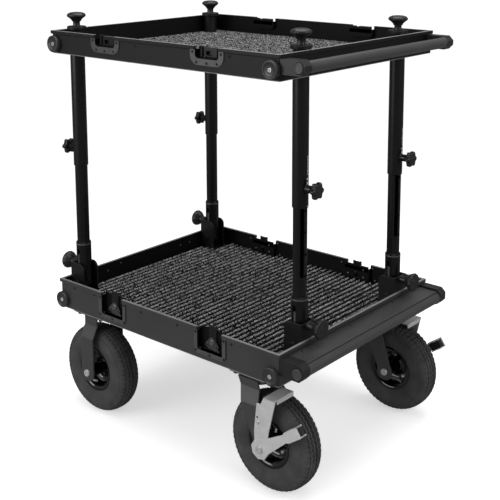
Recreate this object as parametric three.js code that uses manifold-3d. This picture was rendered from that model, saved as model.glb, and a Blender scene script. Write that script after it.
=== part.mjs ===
// Two-deck camera cart: an upper and a lower tray on four telescopic posts that fold
// inwards, two fixed rear wheels and two braked swivel wheels at the handle end.
// Lengths are in millimetres. +X points to the push handles, +Y to the far long side and
// +Z up. The cart is drawn about the middle of its trays, and then stands with the origin
// on the floor under the middle of its whole outline.
import * as THREE from 'three';
import { mergeVertices } from 'three/addons/utils/BufferGeometryUtils.js';
import Module from 'manifold-3d';

const wasm = await Module();
wasm.setup();

// Driving dimensions of the cart
const gap = 0.3;                 // clearance between pieces that touch
const overrun = 2;               // how far a cutting tool runs past a face
const weld = 0.5;                // how far joined shapes run into each other
const trayLength = 800;          // over the lips, along X
const trayWidth = 660;           // over the lips, along Y
const lowerRailHeight = 83;
const upperRailHeight = 62;
const wheelRadius = 125;
const wheelInset = 60;           // from the lips of the long sides to the wheel planes
const rearWheelInset = 105;      // from the rear lip to the rear axles
const frontPivotInset = 109;     // from the front lip to the swivel axes
const casterTrail = 52;          // from a swivel axis to its wheel's axle
const rearPostSideInset = 62;    // from the lips of the long sides to the rear posts
const frontPostSideInset = 122;  // the same for the front posts
const notchPitch = 54;           // step of the height setting
const notchCount = 5;

// Tray sheet metal
const wall = 4;
const lipProud = 4;
const lipHeight = 9;
const lowerLedge = 26;           // inward flange that carries the lower deck
const upperLedge = 14;
const sheet = 3;
const carpetThickness = 5;
const lowerDeckRise = 29;        // from the foot of the rails to the top of the lower deck
const crossMemberWidth = 120;
const bumperRadius = 23;
const bumperThickness = 12;
const rearBumperInset = 15;      // from the rear lip
const frontBumperInset = 24;     // from the front lip
const lowerBumperRise = 25;      // from the foot of the rails
const upperBumperRise = 26;

// Latch dishes in the long sides
const dishDepth = 14;
const dishSheet = 2;
const dishFlange = 11;
const dishFlangeThickness = 1.5;
const lowerDishWidth = 84;
const lowerDishHeight = 60;
const upperDishWidth = 92;
const upperDishClearance = 2.4;  // from the upper carpet to the dishes over its edge
const rearDishInset = 216;       // from the rear lip to the middle of the dish
const frontDishInset = 224;      // from the front lip

// Post tubes
const innerTubeRadius = 17.5;
const innerTubeWall = 2.5;
const slideClearance = 0.4;
const outerTubeWall = 2.1;
const innerTubeHeadroom = 3;     // left under the cap with the post at its shortest
const tubeOverlap = 91.4;        // of the inner tube in the sliding tube at full height
const tubeChamfer = 1.2;
const tubeCapThickness = 8;
const trayClearance = 0.6;       // between a post's top and the upper tray
const sleeveProud = 1;           // of the sleeve past the sliding tube
const sleeveLength = 117;        // above the hinge pin
const sleeveHeadroom = 6;        // left above the sleeve with the post at its shortest
const sleeveRing = 4;            // height of the bright ring at the sleeve's top
const slotWidth = 10;
const slotFootroom = 1.5;        // slot left below the guide pin with the post at its shortest
const slotHeadroom = 9;          // slot left above the guide pin at full height
const slotAngle = 0.61;          // radians from the outward side of the post
const notchHeight = 6;
const notchWidth = 8;
const guidePinRadius = 2.5;
const keyholeWidth = 6;
const keyholeDrop = 12;          // from the sleeve's top
const keyholeHeight = 51;
const keyholeDepth = 1.5;
const hingePinRadius = 5;

// Height knobs, on a boss of the sliding tube
const heightKnobRise = 48;       // from the foot of the sliding tube
const heightBossRadius = 9.5;
const heightBossLength = 15;
const heightStemRadius = 7;
const heightStemLength = 7.5;
const heightKnobRadius = 22;
const heightKnobThickness = 14;
const heightScrewRadius = 4;

// Hinge brackets on the lower deck
const foldAxisRise = 38.7;       // from the foot of the bracket to the hinge pin
const bracketInner = 27;         // from the post axis to the inner edge of the ears
const earCorner = 17;            // radius of the ears' upper inner corner
const bracketCrown = 18.6;       // of the bracket above the base knob's axis
const bracketSheet = 4;
const webClearance = 1.5;        // from the sleeve to the web
const railClearance = 0.5;       // from the web of a front bracket to the front rail
const earThickness = 5;
const earClearance = 1;
const pinHeadRadius = 8;
const pinHeadHeight = 3;

// Round knobs with a lobed head
const knobRimClearance = 7;      // from the lower rim to the base knobs
const baseKnobRadius = 25;
const baseKnobHeight = 24;
const baseStemRadius = 11;
const baseStemLength = 21;
const baseScrewRadius = 5;
const trayKnobRadius = 26;
const trayKnobHeight = 25;
const trayStemRadius = 10.5;
const trayStemLength = 13;
const trayScrewRadius = 8;
const trayScrewLength = 55;
const lobeCount = 6;
const headShares = [[0.5, 0], [0.88, 0.26], [1, 0.56], [0.88, 0.88], [0.5, 1]];
const lobeShare = 0.14;          // depth of the hollows between the lobes, of the radius

// Collars that carry the upper tray on the posts
const collarRadius = 19;
const collarFlangeRadius = 26;
const collarFlangeThickness = 10;
const collarProud = 9;           // how far the collar stands above the rim
const postSeatRadius = 24;

// Push handles and the step between the lower one and its rail
const handleReach = 54;          // from the rail to the middle of the tube
const bracketWidth = 28;         // of a handle bracket, along Y
const bracketSideInset = 5;      // from the lips of the long sides to the handle brackets
const bracketChamfer = 12;
const capProud = 3;
const upperHandleDrop = 27;      // from the rim to the middle of the upper tube
const upperBracketDrop = 45;     // from the rim to the foot of its brackets
const lowerBracketDrop = 53;
const stepPlateReach = 60;
const stepPlateThickness = 3.5;
const stepPlateClearance = 5.6;  // from the lip down to the step
const stepPlateDrop = 24;        // height of its flange on the rail

// Casters
const casterPlateLength = 110;
const casterPlateWidth = 100;
const casterPlateThickness = 6;
const raceRadius = 35;
const raceHeight = 9;
const kingpinRadius = 7;
const kingpinNutRadius = 12;
const kingpinNutHeight = 7;
const crownRadius = 37;
const crownThickness = 6;
const tyreClearance = 25.4;      // from the tyre to the crown of a swivel fork
const legWidth = 50;
const legThickness = 5;
const legInnerTop = 35;          // inner face of a leg from the wheel plane, at the crown
const jogDrop = 22;              // foot of the legs' outward step below the top of the tyre
const jogHeight = 33;

// Wheels
const axleRadius = 6;
const axleClearance = 0.4;
const axleHeadRadius = 10;
const axleHeadHeight = 5.5;
const spacerRadius = 9;
const spacerLength = 6.4;
const hubHalfLength = 45;
const hubRadius = 17;
const rimBarrelRadius = 54;
const rimFlangeHeight = 8;
const rimHalfWidth = 29;
const rimSheet = 3;
const tyreHalfWidth = 38;
const treadHalfWidth = 15;
const shoulderHalfWidth = 29;
const shoulderDrop = 9;          // from the tread to the shoulder, along the radius
const bulgeRadius = 92;

// Wheel brakes
const brakeSheet = 3;
const brakeTopRise = 12;         // upper face of the shoe plate above the tread
const brakeTopStart = 11;
const brakeTopEnd = 46;
const brakeNotchDrop = 22;       // from the shoe plate to the notch behind it
const brakeBackReach = 12;
const brakeFootReach = 18;
const brakeReach = 10;           // shoe plate past the wheel plane
const shoeFlange = 12;
const leverSheet = 3.5;
const leverHubRadius = 26;
const leverArm = 9;              // half the width of the lever's arm
const leverRoot = 14;            // half its width next to the hub
const leverEnd = 13.5;           // half the width of the pedal end
const pedalOverlap = 23;         // how far inside the tread the pedal end begins
const pedalTyreClearance = 4;    // from the tread to the deep end of the pedal's lips
const leverAngle = 0.616;        // radians above the horizontal
const pedalReach = 14;           // length of the deep end of the pedal's lips, along the lever
const pedalDepth = 20;           // how far their deep end reaches inboard
const pedalLip = 3;
const padDepth = 14;             // how far the pad and the shallow stretch of the lips reach

// Latch keys and the hooks behind them
const keyDrop = 35;              // from the rim to the key's axis
const keyHalfLength = 24;
const keyHalfWidth = 11;
const keySheet = 3;
const keyPinRadius = 5;
const keyBossRadius = 8;
const keyBossHeight = 2;
const hookWidth = 25;
const hookSheet = 3;
const hookDrop = 18;             // hook plate below the key's axis
const hookRise = 8;              // hook plate above the rim

// Facets of round shapes
const tubeFacets = 14;
const smallFacets = 10;
const wheelFacets = 20;
const knobFacets = 18;
const cornerFacets = 4;
const starPoints = 4;            // points of a height knob's outline for each lobe

// Finishes seen on the cart
const finish = {
  anodised: { color: 0x1b1b1c, roughness: 0.45, metalness: 0.6 },
  tube: { color: 0x101011, roughness: 0.3, metalness: 0.6 },
  steel: { color: 0x2a2a2b, roughness: 0.5, metalness: 0.5 },
  plastic: { color: 0x151515, roughness: 0.4, metalness: 0 },
  carpet: { color: 0x3a3a3b, roughness: 1, metalness: 0 },
  rubber: { color: 0x232323, roughness: 0.8, metalness: 0 },
  zinc: { color: 0xb9bbbd, roughness: 0.35, metalness: 0.9 },
  rim: { color: 0x0c0c0d, roughness: 0.3, metalness: 0.4 },
};

// Places along and across the trays
const frontLip = trayLength / 2;
const sideLip = trayWidth / 2;
const railFace = frontLip - lipProud;
const sideFace = sideLip - lipProud;
const innerLength = 2 * (railFace - wall);
const innerWidth = 2 * (sideFace - wall);
const bumperPlaces = [rearBumperInset - frontLip, frontLip - frontBumperInset];
const dishPlaces = [rearDishInset - frontLip, frontLip - frontDishInset];
const bracketSide = sideLip - bracketSideInset;
const lowerDeckSide = sideFace - dishDepth - dishSheet - gap;
const rearWheelX = rearWheelInset - frontLip;
const frontPivotX = frontLip - frontPivotInset;
const wheelY = sideLip - wheelInset;

// Casters and wheels, from the floor up
const axleHeight = wheelRadius;
const rimFlangeRadius = rimBarrelRadius + rimFlangeHeight;
const legInnerFoot = hubHalfLength + spacerLength + 2 * gap;
const legOuterFoot = legInnerFoot + legThickness;
const jogFoot = 2 * wheelRadius - jogDrop;
const jogTop = jogFoot + jogHeight;
const swivelCrownFoot = 2 * wheelRadius + tyreClearance;
const swivelCrownTop = swivelCrownFoot + crownThickness;
const casterPlateFoot = swivelCrownTop + gap + raceHeight;
const casterPlateTop = casterPlateFoot + casterPlateThickness;
const brakeTopHeight = wheelRadius + brakeTopRise;
const brakeNotchHeight = brakeTopHeight - brakeNotchDrop;
const leverStep = wheelRadius - pedalOverlap;
const leverLength = wheelRadius + pedalTyreClearance + pedalReach;

// Lower tray: foot and rim of its rails at 297 and 380 above the floor
const lowerFoot = casterPlateTop + gap;
const lowerRim = lowerFoot + lowerRailHeight;
const lowerDeckTop = lowerFoot + lowerDeckRise;
const lowerFloor = lowerDeckTop + gap + carpetThickness;
const lowerDishFloor = lowerRim - lowerDishHeight;
const stepPlateTop = lowerRim - lipHeight - stepPlateClearance;
const stepPlateFoot = stepPlateTop - stepPlateThickness;

// Posts, from their hinge brackets up
const outerTubeBore = innerTubeRadius + slideClearance;
const outerTubeRadius = outerTubeBore + outerTubeWall;
const sleeveRadius = outerTubeRadius + sleeveProud;
const bracketOuter = sleeveRadius + webClearance + bracketSheet;
const bracketFoot = lowerDeckTop + gap;
const earInside = sleeveRadius + earClearance;
const earOutside = earInside + earThickness;
const foldAxisHeight = bracketFoot + foldAxisRise;
const baseKnobZ = lowerRim + knobRimClearance + baseKnobRadius;
const bracketTop = baseKnobZ + bracketCrown;
const travel = notchPitch * (notchCount - 1);
const sleeveTop = foldAxisHeight + sleeveLength;
const outerTubeFoot = sleeveTop + sleeveHeadroom + travel;
const heightKnobZ = outerTubeFoot + heightKnobRise;
const slotFoot = heightKnobZ - travel - guidePinRadius - slotFootroom;
const innerTubeTop = outerTubeFoot + tubeOverlap;
const postTop = innerTubeTop + innerTubeHeadroom + travel + tubeCapThickness;

// Upper tray: foot and rim of its rails at 1023 and 1085 above the floor
const upperFoot = postTop + trayClearance;
const upperRim = upperFoot + upperRailHeight;
const upperDeckTop = upperFoot + 2 * sheet + gap;
const upperFloor = upperDeckTop + gap + carpetThickness;
const upperDishFloor = upperFloor + upperDishClearance + dishSheet;

// Push handles: radius, place and end caps of a tube, and the outline of its brackets
const upperHandle = {
  tube: 14, z: upperRim - upperHandleDrop, foot: upperRim - upperBracketDrop, nose: 15.5, cap: 12.5,
};
const lowerTubeRadius = 15.5;
const lowerHandle = {
  tube: lowerTubeRadius, z: stepPlateFoot - gap - lowerTubeRadius, foot: lowerRim - lowerBracketDrop,
  nose: 16.5, cap: 14,
};

// Where the four posts stand
const frontPostX = railFace - wall - railClearance - bracketOuter;
const rearPostX = -frontPostX;
const rearPostY = sideLip - rearPostSideInset;
const frontPostY = sideLip - frontPostSideInset;
const posts = [
  { name: 'rear_near', x: rearPostX, y: -rearPostY, turn: 0 },
  { name: 'rear_far', x: rearPostX, y: rearPostY, turn: 0 },
  { name: 'front_near', x: frontPostX, y: -frontPostY, turn: Math.PI },
  { name: 'front_far', x: frontPostX, y: frontPostY, turn: Math.PI },
];

// A closed geometry as a solid that can be joined and cut
function solid(geometry) {
  geometry.deleteAttribute('normal');
  geometry.deleteAttribute('uv');
  const welded = mergeVertices(geometry);
  const corners = welded.index.array;
  const triangles = [];
  for (let i = 0; i < corners.length; i += 3) {
    const [a, b, c] = corners.slice(i, i + 3);
    if (a !== b && b !== c && c !== a) triangles.push(a, b, c);
  }
  return new wasm.Manifold(new wasm.Mesh({
    numProp: 3,
    vertProperties: welded.attributes.position.array,
    triVerts: new Uint32Array(triangles),
  }));
}

// A box between two places on each axis, given in either order
function block(xs, ys, zs) {
  const [x, y, z] = [xs, ys, zs].map(([a, b]) => ({ size: Math.abs(b - a), middle: (a + b) / 2 }));
  const geometry = new THREE.BoxGeometry(x.size, y.size, z.size);
  return solid(geometry.translate(x.middle, y.middle, z.middle));
}

// A box centred on the origin in X and Y
function slab(length, width, z0, z1) {
  return block([-length / 2, length / 2], [-width / 2, width / 2], [z0, z1]);
}

// A round bar along one axis between two places on it; at is its place on the other two
function rod(axis, radius, [start, end], at = [0, 0], facets = smallFacets) {
  const geometry = new THREE.CylinderGeometry(radius, radius, Math.abs(end - start), facets);
  const middle = (start + end) / 2;
  if (axis === 'x') geometry.rotateZ(-Math.PI / 2).translate(middle, ...at);
  if (axis === 'y') geometry.translate(at[0], middle, at[1]);
  if (axis === 'z') geometry.rotateX(Math.PI / 2).translate(...at, middle);
  return solid(geometry);
}

// A round hole cut by a bar, whose flats lie at the stated radius
function hole(axis, radius, span, at = [0, 0], facets = smallFacets) {
  return rod(axis, radius / Math.cos(Math.PI / facets), span, at, facets);
}

// An outline drawn in X and Z, as thick as the way between two places on Y
function plateXZ(points, [y0, y1]) {
  const shape = new THREE.Shape(points.map(([x, z]) => new THREE.Vector2(x, z)));
  const depth = Math.abs(y1 - y0);
  const geometry = new THREE.ExtrudeGeometry(shape, { depth, bevelEnabled: false });
  return solid(geometry.rotateX(Math.PI / 2).translate(0, Math.max(y0, y1), 0));
}

// An outline drawn in Y and Z, as thick as the way between two places on X
function plateYZ(points, [x0, x1]) {
  const shape = new THREE.Shape(points.map(([y, z]) => new THREE.Vector2(y, z)));
  const depth = Math.abs(x1 - x0);
  const geometry = new THREE.ExtrudeGeometry(shape, { depth, bevelEnabled: false });
  const [x, y, z] = [[1, 0, 0], [0, 1, 0], [0, 0, 1]].map((axis) => new THREE.Vector3(...axis));
  geometry.applyMatrix4(new THREE.Matrix4().makeBasis(y, z, x));
  return solid(geometry.translate(Math.min(x0, x1), 0, 0));
}

// A profile of radius and height, turned about Y
function turned(profile, facets) {
  return new THREE.LatheGeometry(profile.map((point) => new THREE.Vector2(...point)), facets);
}

// Points of an arc about a centre, both ends included
function arc([cx, cy], radius, [from, to], count) {
  return Array.from({ length: count + 1 }, (_, i) => {
    const angle = from + (to - from) * i / count;
    return [cx + radius * Math.cos(angle), cy + radius * Math.sin(angle)];
  });
}

// One solid made of several, one cut by several, and what two have in common
const join = (...pieces) => pieces.reduce((whole, piece) => whole.add(piece));
const cut = (body, ...tools) => tools.reduce((whole, tool) => whole.subtract(tool), body);
const common = (first, second) => first.intersect(second);

// A named mesh made of a solid, with its finish
function piece(name, body, look) {
  const shape = body.getMesh();
  const geometry = new THREE.BufferGeometry();
  geometry.setAttribute('position', new THREE.BufferAttribute(shape.vertProperties, 3));
  geometry.setIndex(new THREE.BufferAttribute(shape.triVerts, 1));
  geometry.computeVertexNormals();
  const mesh = new THREE.Mesh(geometry, new THREE.MeshStandardMaterial(look));
  mesh.name = name;
  return mesh;
}

// Rails with a proud lip and an inward ledge under the deck
function trayRails(rim, foot, ledgeTop, ledge) {
  const body = join(
    slab(2 * railFace, 2 * sideFace, foot, rim),
    slab(trayLength, trayWidth, rim - lipHeight, rim));
  const wellLength = innerLength - 2 * ledge;
  const wellWidth = innerWidth - 2 * ledge;
  const room = slab(innerLength, innerWidth, ledgeTop, rim + overrun);
  const well = slab(wellLength, wellWidth, foot - overrun, ledgeTop + overrun);
  const open = cut(body, room, well);
  const underLedge = ledgeTop - sheet;
  if (underLedge <= foot + sheet) return open;
  return cut(open, slab(innerLength, innerWidth, foot + sheet, underLedge));
}

// Latch dishes: flanged pans let into both long sides, open at the rim and to the outside
function withDishes(rails, rim, floor, width) {
  const half = width / 2;
  let body = rails;
  for (const side of [-1, 1]) {
    for (const x of dishPlaces) {
      const across = (reach) => [x - half - reach, x + half + reach];
      const back = side * (sideFace - dishDepth);
      const outside = side * sideFace;
      const pan = block(across(dishSheet), [back - side * dishSheet, outside],
        [floor - dishSheet, rim - lipHeight]);
      const flange = block(across(dishFlange), [outside - side * weld, outside + side * dishFlangeThickness],
        [floor - dishSheet, rim - lipHeight]);
      const hollow = block(across(0), [back, outside + side * (lipProud + overrun)], [floor, rim + overrun]);
      body = cut(join(body, pan, flange), hollow);
    }
  }
  return body;
}

// Hook plates standing in the lower dishes, with the holes that the key pins turn in
function withHooks(rails) {
  const keyZ = lowerRim - keyDrop;
  let body = rails;
  for (const side of [-1, 1]) {
    for (const x of dishPlaces) {
      const back = side * (sideFace - dishDepth);
      const front = back + side * hookSheet;
      const hook = block([x - hookWidth / 2, x + hookWidth / 2], [back - side * weld, front],
        [keyZ - hookDrop, lowerRim + hookRise]);
      const span = [back - side * (dishSheet + overrun), front + side * overrun];
      body = cut(join(body, hook), hole('y', keyPinRadius + gap, span, [x, keyZ]));
    }
  }
  return body;
}

// Round bumpers on the ends of both long sides
function withBumpers(rails, z) {
  let body = rails;
  for (const side of [-1, 1]) {
    for (const x of bumperPlaces) {
      const across = [side * (sideFace - weld), side * (sideFace + bumperThickness)];
      body = join(body, rod('y', bumperRadius, across, [x, z], knobFacets));
    }
  }
  return body;
}

// Lower deck: a sheet between the dishes with two hollow cross-members below that the
// casters are bolted to
function lowerDeck() {
  const underside = lowerDeckTop - sheet;
  const deck = slab(innerLength - 2 * gap, 2 * lowerDeckSide, underside, lowerDeckTop);
  const reach = innerWidth / 2 - lowerLedge - gap;
  const half = crossMemberWidth / 2;
  const members = [rearWheelX, frontPivotX].map((x) => cut(
    block([x - half, x + half], [-reach, reach], [lowerFoot, underside + weld]),
    block([x - half + sheet, x + half - sheet], [-reach - overrun, reach + overrun],
      [lowerFoot + sheet, underside])));
  return join(deck, ...members);
}

// Upper deck: a sheet with a seat below and a flanged collar above each post
function upperDeck() {
  const collarTop = upperRim + collarProud;
  const wellLength = innerLength - 2 * (upperLedge + gap);
  const wellWidth = innerWidth - 2 * (upperLedge + gap);
  const seats = posts.map(({ x, y }) => common(
    rod('z', postSeatRadius, [upperFoot, upperDeckTop], [x, y], tubeFacets),
    slab(wellLength, wellWidth, upperFoot, upperDeckTop)));
  const collars = posts.map(({ x, y }) => join(
    rod('z', collarRadius, [upperDeckTop - sheet, collarTop], [x, y], tubeFacets),
    rod('z', collarFlangeRadius, [collarTop - collarFlangeThickness, collarTop], [x, y], tubeFacets)));
  const bores = posts.map(({ x, y }) =>
    hole('z', trayScrewRadius + gap, [upperFoot - overrun, collarTop + overrun], [x, y]));
  const deck = slab(innerLength - 2 * gap, innerWidth - 2 * gap, upperDeckTop - sheet, upperDeckTop);
  return cut(join(deck, ...seats, ...collars), ...bores);
}

// Carpet laid on a deck between the end rails, out to a place on each side
function carpet(deckTop, side) {
  const foot = deckTop + gap;
  return slab(innerLength - 2 * gap, 2 * side, foot, foot + carpetThickness);
}

// Lower carpet between the dishes, cut away round the hinge brackets out to its edge
function lowerCarpet() {
  const side = earOutside + gap;
  const edge = innerLength / 2;
  const rooms = posts.map(({ x, y }) => {
    const end = Math.sign(x);
    const across = end > 0 ? [y - side, y + side] : [y - Math.sign(y) * side, Math.sign(y) * innerWidth / 2];
    return block([x - end * (bracketInner + gap), end * edge], across,
      [lowerDeckTop - overrun, lowerFloor + overrun]);
  });
  return cut(carpet(lowerDeckTop, lowerDeckSide), ...rooms);
}

// Upper carpet, with a hole round each collar
function upperCarpet() {
  const span = [upperDeckTop - overrun, upperFloor + overrun];
  const holes = posts.map(({ x, y }) => hole('z', collarRadius + gap, span, [x, y], tubeFacets));
  return cut(carpet(upperDeckTop, innerWidth / 2 - gap), ...holes);
}

// Push handle: a tube between two chamfered brackets with round caps on their outer faces
function pushHandle({ tube, z, foot, nose, cap }, rim) {
  const face = railFace + gap;
  const middle = railFace + handleReach;
  const head = rim - lipHeight - gap;
  const front = middle + nose;
  const outline = [
    [face, foot], [front - bracketChamfer, foot], [front, foot + bracketChamfer],
    [front, head - bracketChamfer], [front - bracketChamfer, head], [face, head],
  ];
  const inside = bracketSide - bracketWidth;
  const brackets = [-1, 1].map((side) => join(
    plateXZ(outline, [side * inside, side * bracketSide]),
    rod('y', cap, [side * (bracketSide - weld), side * (bracketSide + capProud)], [middle, z], tubeFacets)));
  return join(rod('y', tube, [-inside - weld, inside + weld], [middle, z], tubeFacets), ...brackets);
}

// Step plate over the lower handle, with a flange down the face of the rail
function stepPlate() {
  const half = bracketSide - bracketWidth - gap;
  const face = railFace + gap;
  return join(
    block([face, railFace + stepPlateReach], [-half, half], [stepPlateFoot, stepPlateTop]),
    block([face, face + stepPlateThickness], [-half, half],
      [stepPlateTop - stepPlateDrop, stepPlateFoot + weld]));
}

// A round head with hollows between its lobes, its crown at the far end of +Y
function lobedHead(radius, height) {
  const profile = [[0, 0], ...headShares.map(([r, h]) => [r * radius, h * height]), [0, height]];
  const geometry = turned(profile, knobFacets);
  const place = geometry.attributes.position;
  for (let i = 0; i < place.count; i += 1) {
    const [x, z] = [place.getX(i), place.getZ(i)];
    const fullness = Math.hypot(x, z) / radius;
    const hollow = (1 - Math.cos(lobeCount * Math.atan2(x, z))) / 2;
    const shrink = 1 - lobeShare * hollow * fullness ** 2;
    place.setXYZ(i, x * shrink, place.getY(i), z * shrink);
  }
  return geometry;
}

// Base knob: drawn along -X, its screw through the web of the hinge bracket
function baseKnob() {
  const shoulder = -bracketOuter - gap;
  const headStart = shoulder - baseStemLength;
  const head = lobedHead(baseKnobRadius, baseKnobHeight);
  const tip = -(bracketOuter - bracketSheet) - gap;
  return join(
    solid(head.rotateZ(Math.PI / 2).translate(headStart, 0, baseKnobZ)),
    rod('x', baseStemRadius, [headStart - weld, shoulder], [0, baseKnobZ]),
    rod('x', baseScrewRadius, [shoulder - weld, tip], [0, baseKnobZ]));
}

// Tray knob: its screw holds the upper tray down through the collar
function trayKnob() {
  const shoulder = upperRim + collarProud + gap;
  const headStart = shoulder + trayStemLength;
  const head = lobedHead(trayKnobRadius, trayKnobHeight);
  return join(
    solid(head.rotateX(Math.PI / 2).translate(0, 0, headStart)),
    rod('z', trayStemRadius, [shoulder, headStart + weld]),
    rod('z', trayScrewRadius, [shoulder - trayScrewLength, shoulder + weld]));
}

// Height knob: a six-lobed star on the boss of the sliding tube
function heightKnob() {
  const shoulder = -outerTubeRadius - heightBossLength - gap;
  const headStart = shoulder - heightStemLength;
  const points = starPoints * lobeCount;
  const outline = Array.from({ length: points }, (_, i) => {
    const angle = i * 2 * Math.PI / points;
    const reach = heightKnobRadius * (1 - lobeShare * (1 - Math.cos(lobeCount * angle)));
    return [reach * Math.cos(angle), heightKnobZ + reach * Math.sin(angle)];
  });
  return join(
    plateYZ(outline, [headStart - heightKnobThickness, headStart]),
    rod('x', heightStemRadius, [headStart - weld, shoulder], [0, heightKnobZ]),
    rod('x', heightScrewRadius, [shoulder - weld, -outerTubeRadius], [0, heightKnobZ]));
}

// Hinge bracket: a base, a web on the outward side and two ears that hold the fold pin
function hingeBracket() {
  const corner = [bracketInner - earCorner, bracketTop - earCorner];
  const bend = arc(corner, earCorner, [0, Math.PI / 2], cornerFacets);
  const outline = [
    [-bracketOuter, bracketFoot], [bracketInner, bracketFoot], ...bend, [-bracketOuter, bracketTop],
  ];
  const ears = [-1, 1].map((side) => plateXZ(outline, [side * earInside, side * earOutside]));
  const base = block([-bracketOuter, bracketInner], [-earOutside, earOutside],
    [bracketFoot, bracketFoot + bracketSheet]);
  const web = block([-bracketOuter, bracketSheet - bracketOuter], [-earOutside, earOutside],
    [bracketFoot, bracketTop]);
  const screwHole = hole('x', baseScrewRadius + gap,
    [-bracketOuter - overrun, bracketSheet - bracketOuter + overrun], [0, baseKnobZ]);
  const head = earOutside + pinHeadHeight;
  return join(cut(join(base, web, ...ears), screwHole),
    rod('y', hingePinRadius, [-head, head], [0, foldAxisHeight]),
    rod('y', pinHeadRadius, [-head, -earOutside + weld], [0, foldAxisHeight]),
    rod('y', pinHeadRadius, [earOutside - weld, head], [0, foldAxisHeight]));
}

// Round bar standing on the post's own axis
function upright(radius, span) {
  return rod('z', radius, span, [0, 0], tubeFacets);
}

// Lower part of a post: a sleeve hinged at its foot and the notched tube that stands in it
function innerPost() {
  const across = [-sleeveRadius - overrun, sleeveRadius + overrun];
  const knuckle = common(
    rod('y', sleeveRadius, [-sleeveRadius, sleeveRadius], [0, foldAxisHeight], tubeFacets),
    upright(sleeveRadius, [foldAxisHeight - sleeveRadius, foldAxisHeight + sleeveRadius]));
  const sleeve = upright(sleeveRadius, [foldAxisHeight, sleeveTop]);
  const tube = upright(innerTubeRadius, [sleeveTop - weld, innerTubeTop]);
  const bore = upright(innerTubeRadius - innerTubeWall, [sleeveTop, innerTubeTop + overrun]);
  const grooveSpan = [sleeveTop - 2 * sleeveRing, sleeveTop - sleeveRing];
  const groove = cut(
    upright(sleeveRadius + overrun, grooveSpan),
    upright(sleeveRadius - weld, [grooveSpan[0] - overrun, grooveSpan[1] + overrun]));
  const keyholeTop = sleeveTop - keyholeDrop;
  const keyholes = [-1, 1].map((side) => block([-keyholeWidth / 2, keyholeWidth / 2],
    [side * (sleeveRadius - keyholeDepth), side * (sleeveRadius + overrun)],
    [keyholeTop - keyholeHeight, keyholeTop]));
  const pinHole = hole('y', hingePinRadius + gap, across, [0, foldAxisHeight]);
  const body = join(knuckle, sleeve, tube);
  return cut(body, bore, groove, pinHole, ...keyholes, ...notches(), guideSlot());
}

// Height notches up the outward side of the inner tube
function notches() {
  return Array.from({ length: notchCount }, (_, i) => {
    const z = heightKnobZ - i * notchPitch;
    const reach = [-innerTubeRadius - overrun, innerTubeWall + overrun - innerTubeRadius];
    return block(reach, [-notchWidth / 2, notchWidth / 2], [z - notchHeight / 2, z + notchHeight / 2]);
  });
}

// Slot beside the notches, with a round foot, that the guide pin runs in
function guideSlot() {
  const half = slotWidth / 2;
  const head = heightKnobZ + slotHeadroom;
  const reach = [-innerTubeRadius - overrun, innerTubeWall + overrun - innerTubeRadius];
  const slot = join(
    block(reach, [-half, half], [slotFoot + half, head]),
    rod('x', half, reach, [0, slotFoot + half]));
  return slot.rotate([0, 0, -THREE.MathUtils.radToDeg(slotAngle)]);
}

// Upper part of a post: the sliding tube with its cap, knob boss and guide pin
function outerPost() {
  const capFoot = postTop - tubeCapThickness;
  const bore = outerTubeBore / Math.cos(Math.PI / tubeFacets);
  const profile = [
    [bore, outerTubeFoot], [outerTubeRadius - tubeChamfer, outerTubeFoot],
    [outerTubeRadius, outerTubeFoot + tubeChamfer], [outerTubeRadius, postTop],
    [0, postTop], [0, capFoot], [bore, capFoot], [bore, outerTubeFoot],
  ];
  const tube = solid(turned(profile, tubeFacets).rotateX(Math.PI / 2));
  const bossReach = [-outerTubeRadius - heightBossLength, -bore - weld];
  const boss = rod('x', heightBossRadius, bossReach, [0, heightKnobZ]);
  const screwHole = hole('x', heightScrewRadius + gap, [bossReach[0] - overrun, weld - outerTubeRadius],
    [0, heightKnobZ]);
  const pinReach = [-bore - weld, innerTubeWall - innerTubeRadius];
  const pin = rod('x', guidePinRadius, pinReach, [0, heightKnobZ])
    .rotate([0, 0, -THREE.MathUtils.radToDeg(slotAngle)]);
  return join(cut(join(tube, boss), screwHole), pin);
}

// Fork outline across the wheel: an inverted U whose legs step out past the tyre
function forkSection(crownFoot, crownTop) {
  const wide = legOuterFoot;
  const narrow = legInnerTop + legThickness;
  const foot = axleHeight - legWidth / 2 - overrun;
  const right = [[wide, foot], [wide, jogFoot], [narrow, jogTop], [narrow, crownTop]];
  const inside = [
    [legInnerTop, crownFoot], [legInnerTop, jogTop], [legInnerFoot, jogFoot], [legInnerFoot, foot],
  ];
  const mirror = (points) => points.map(([y, z]) => [-y, z]).reverse();
  return [...right, ...mirror(right), ...mirror(inside), ...inside];
}

// Leg outline along the cart, from the crown at x = 0 down to a round end at the axle
function legSide(axleX, crownTop) {
  const half = legWidth / 2;
  const slant = Math.atan2(axleX, crownTop - axleHeight);
  const end = arc([axleX, axleHeight], half, [Math.PI - slant, 2 * Math.PI - slant], 2 * cornerFacets);
  return [[-half, crownTop], ...end, [half, crownTop]];
}

// Fork legs and crown in one bent strip, bored for the axle
function forkStrip(axleX, crownTop) {
  const reach = legWidth + Math.abs(axleX);
  const section = plateYZ(forkSection(crownTop - crownThickness, crownTop), [-reach, reach]);
  const side = plateXZ(legSide(axleX, crownTop), [-legOuterFoot, legOuterFoot]);
  const bore = hole('y', axleRadius + axleClearance, [-legOuterFoot - overrun, legOuterFoot + overrun],
    [axleX, axleHeight]);
  return cut(common(section, side), bore);
}

// Rear fork: fixed legs under a bolted plate
function rearFork() {
  const plate = slab(casterPlateLength, casterPlateWidth, casterPlateFoot, casterPlateTop);
  return join(plate, forkStrip(0, casterPlateFoot + weld));
}

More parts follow.
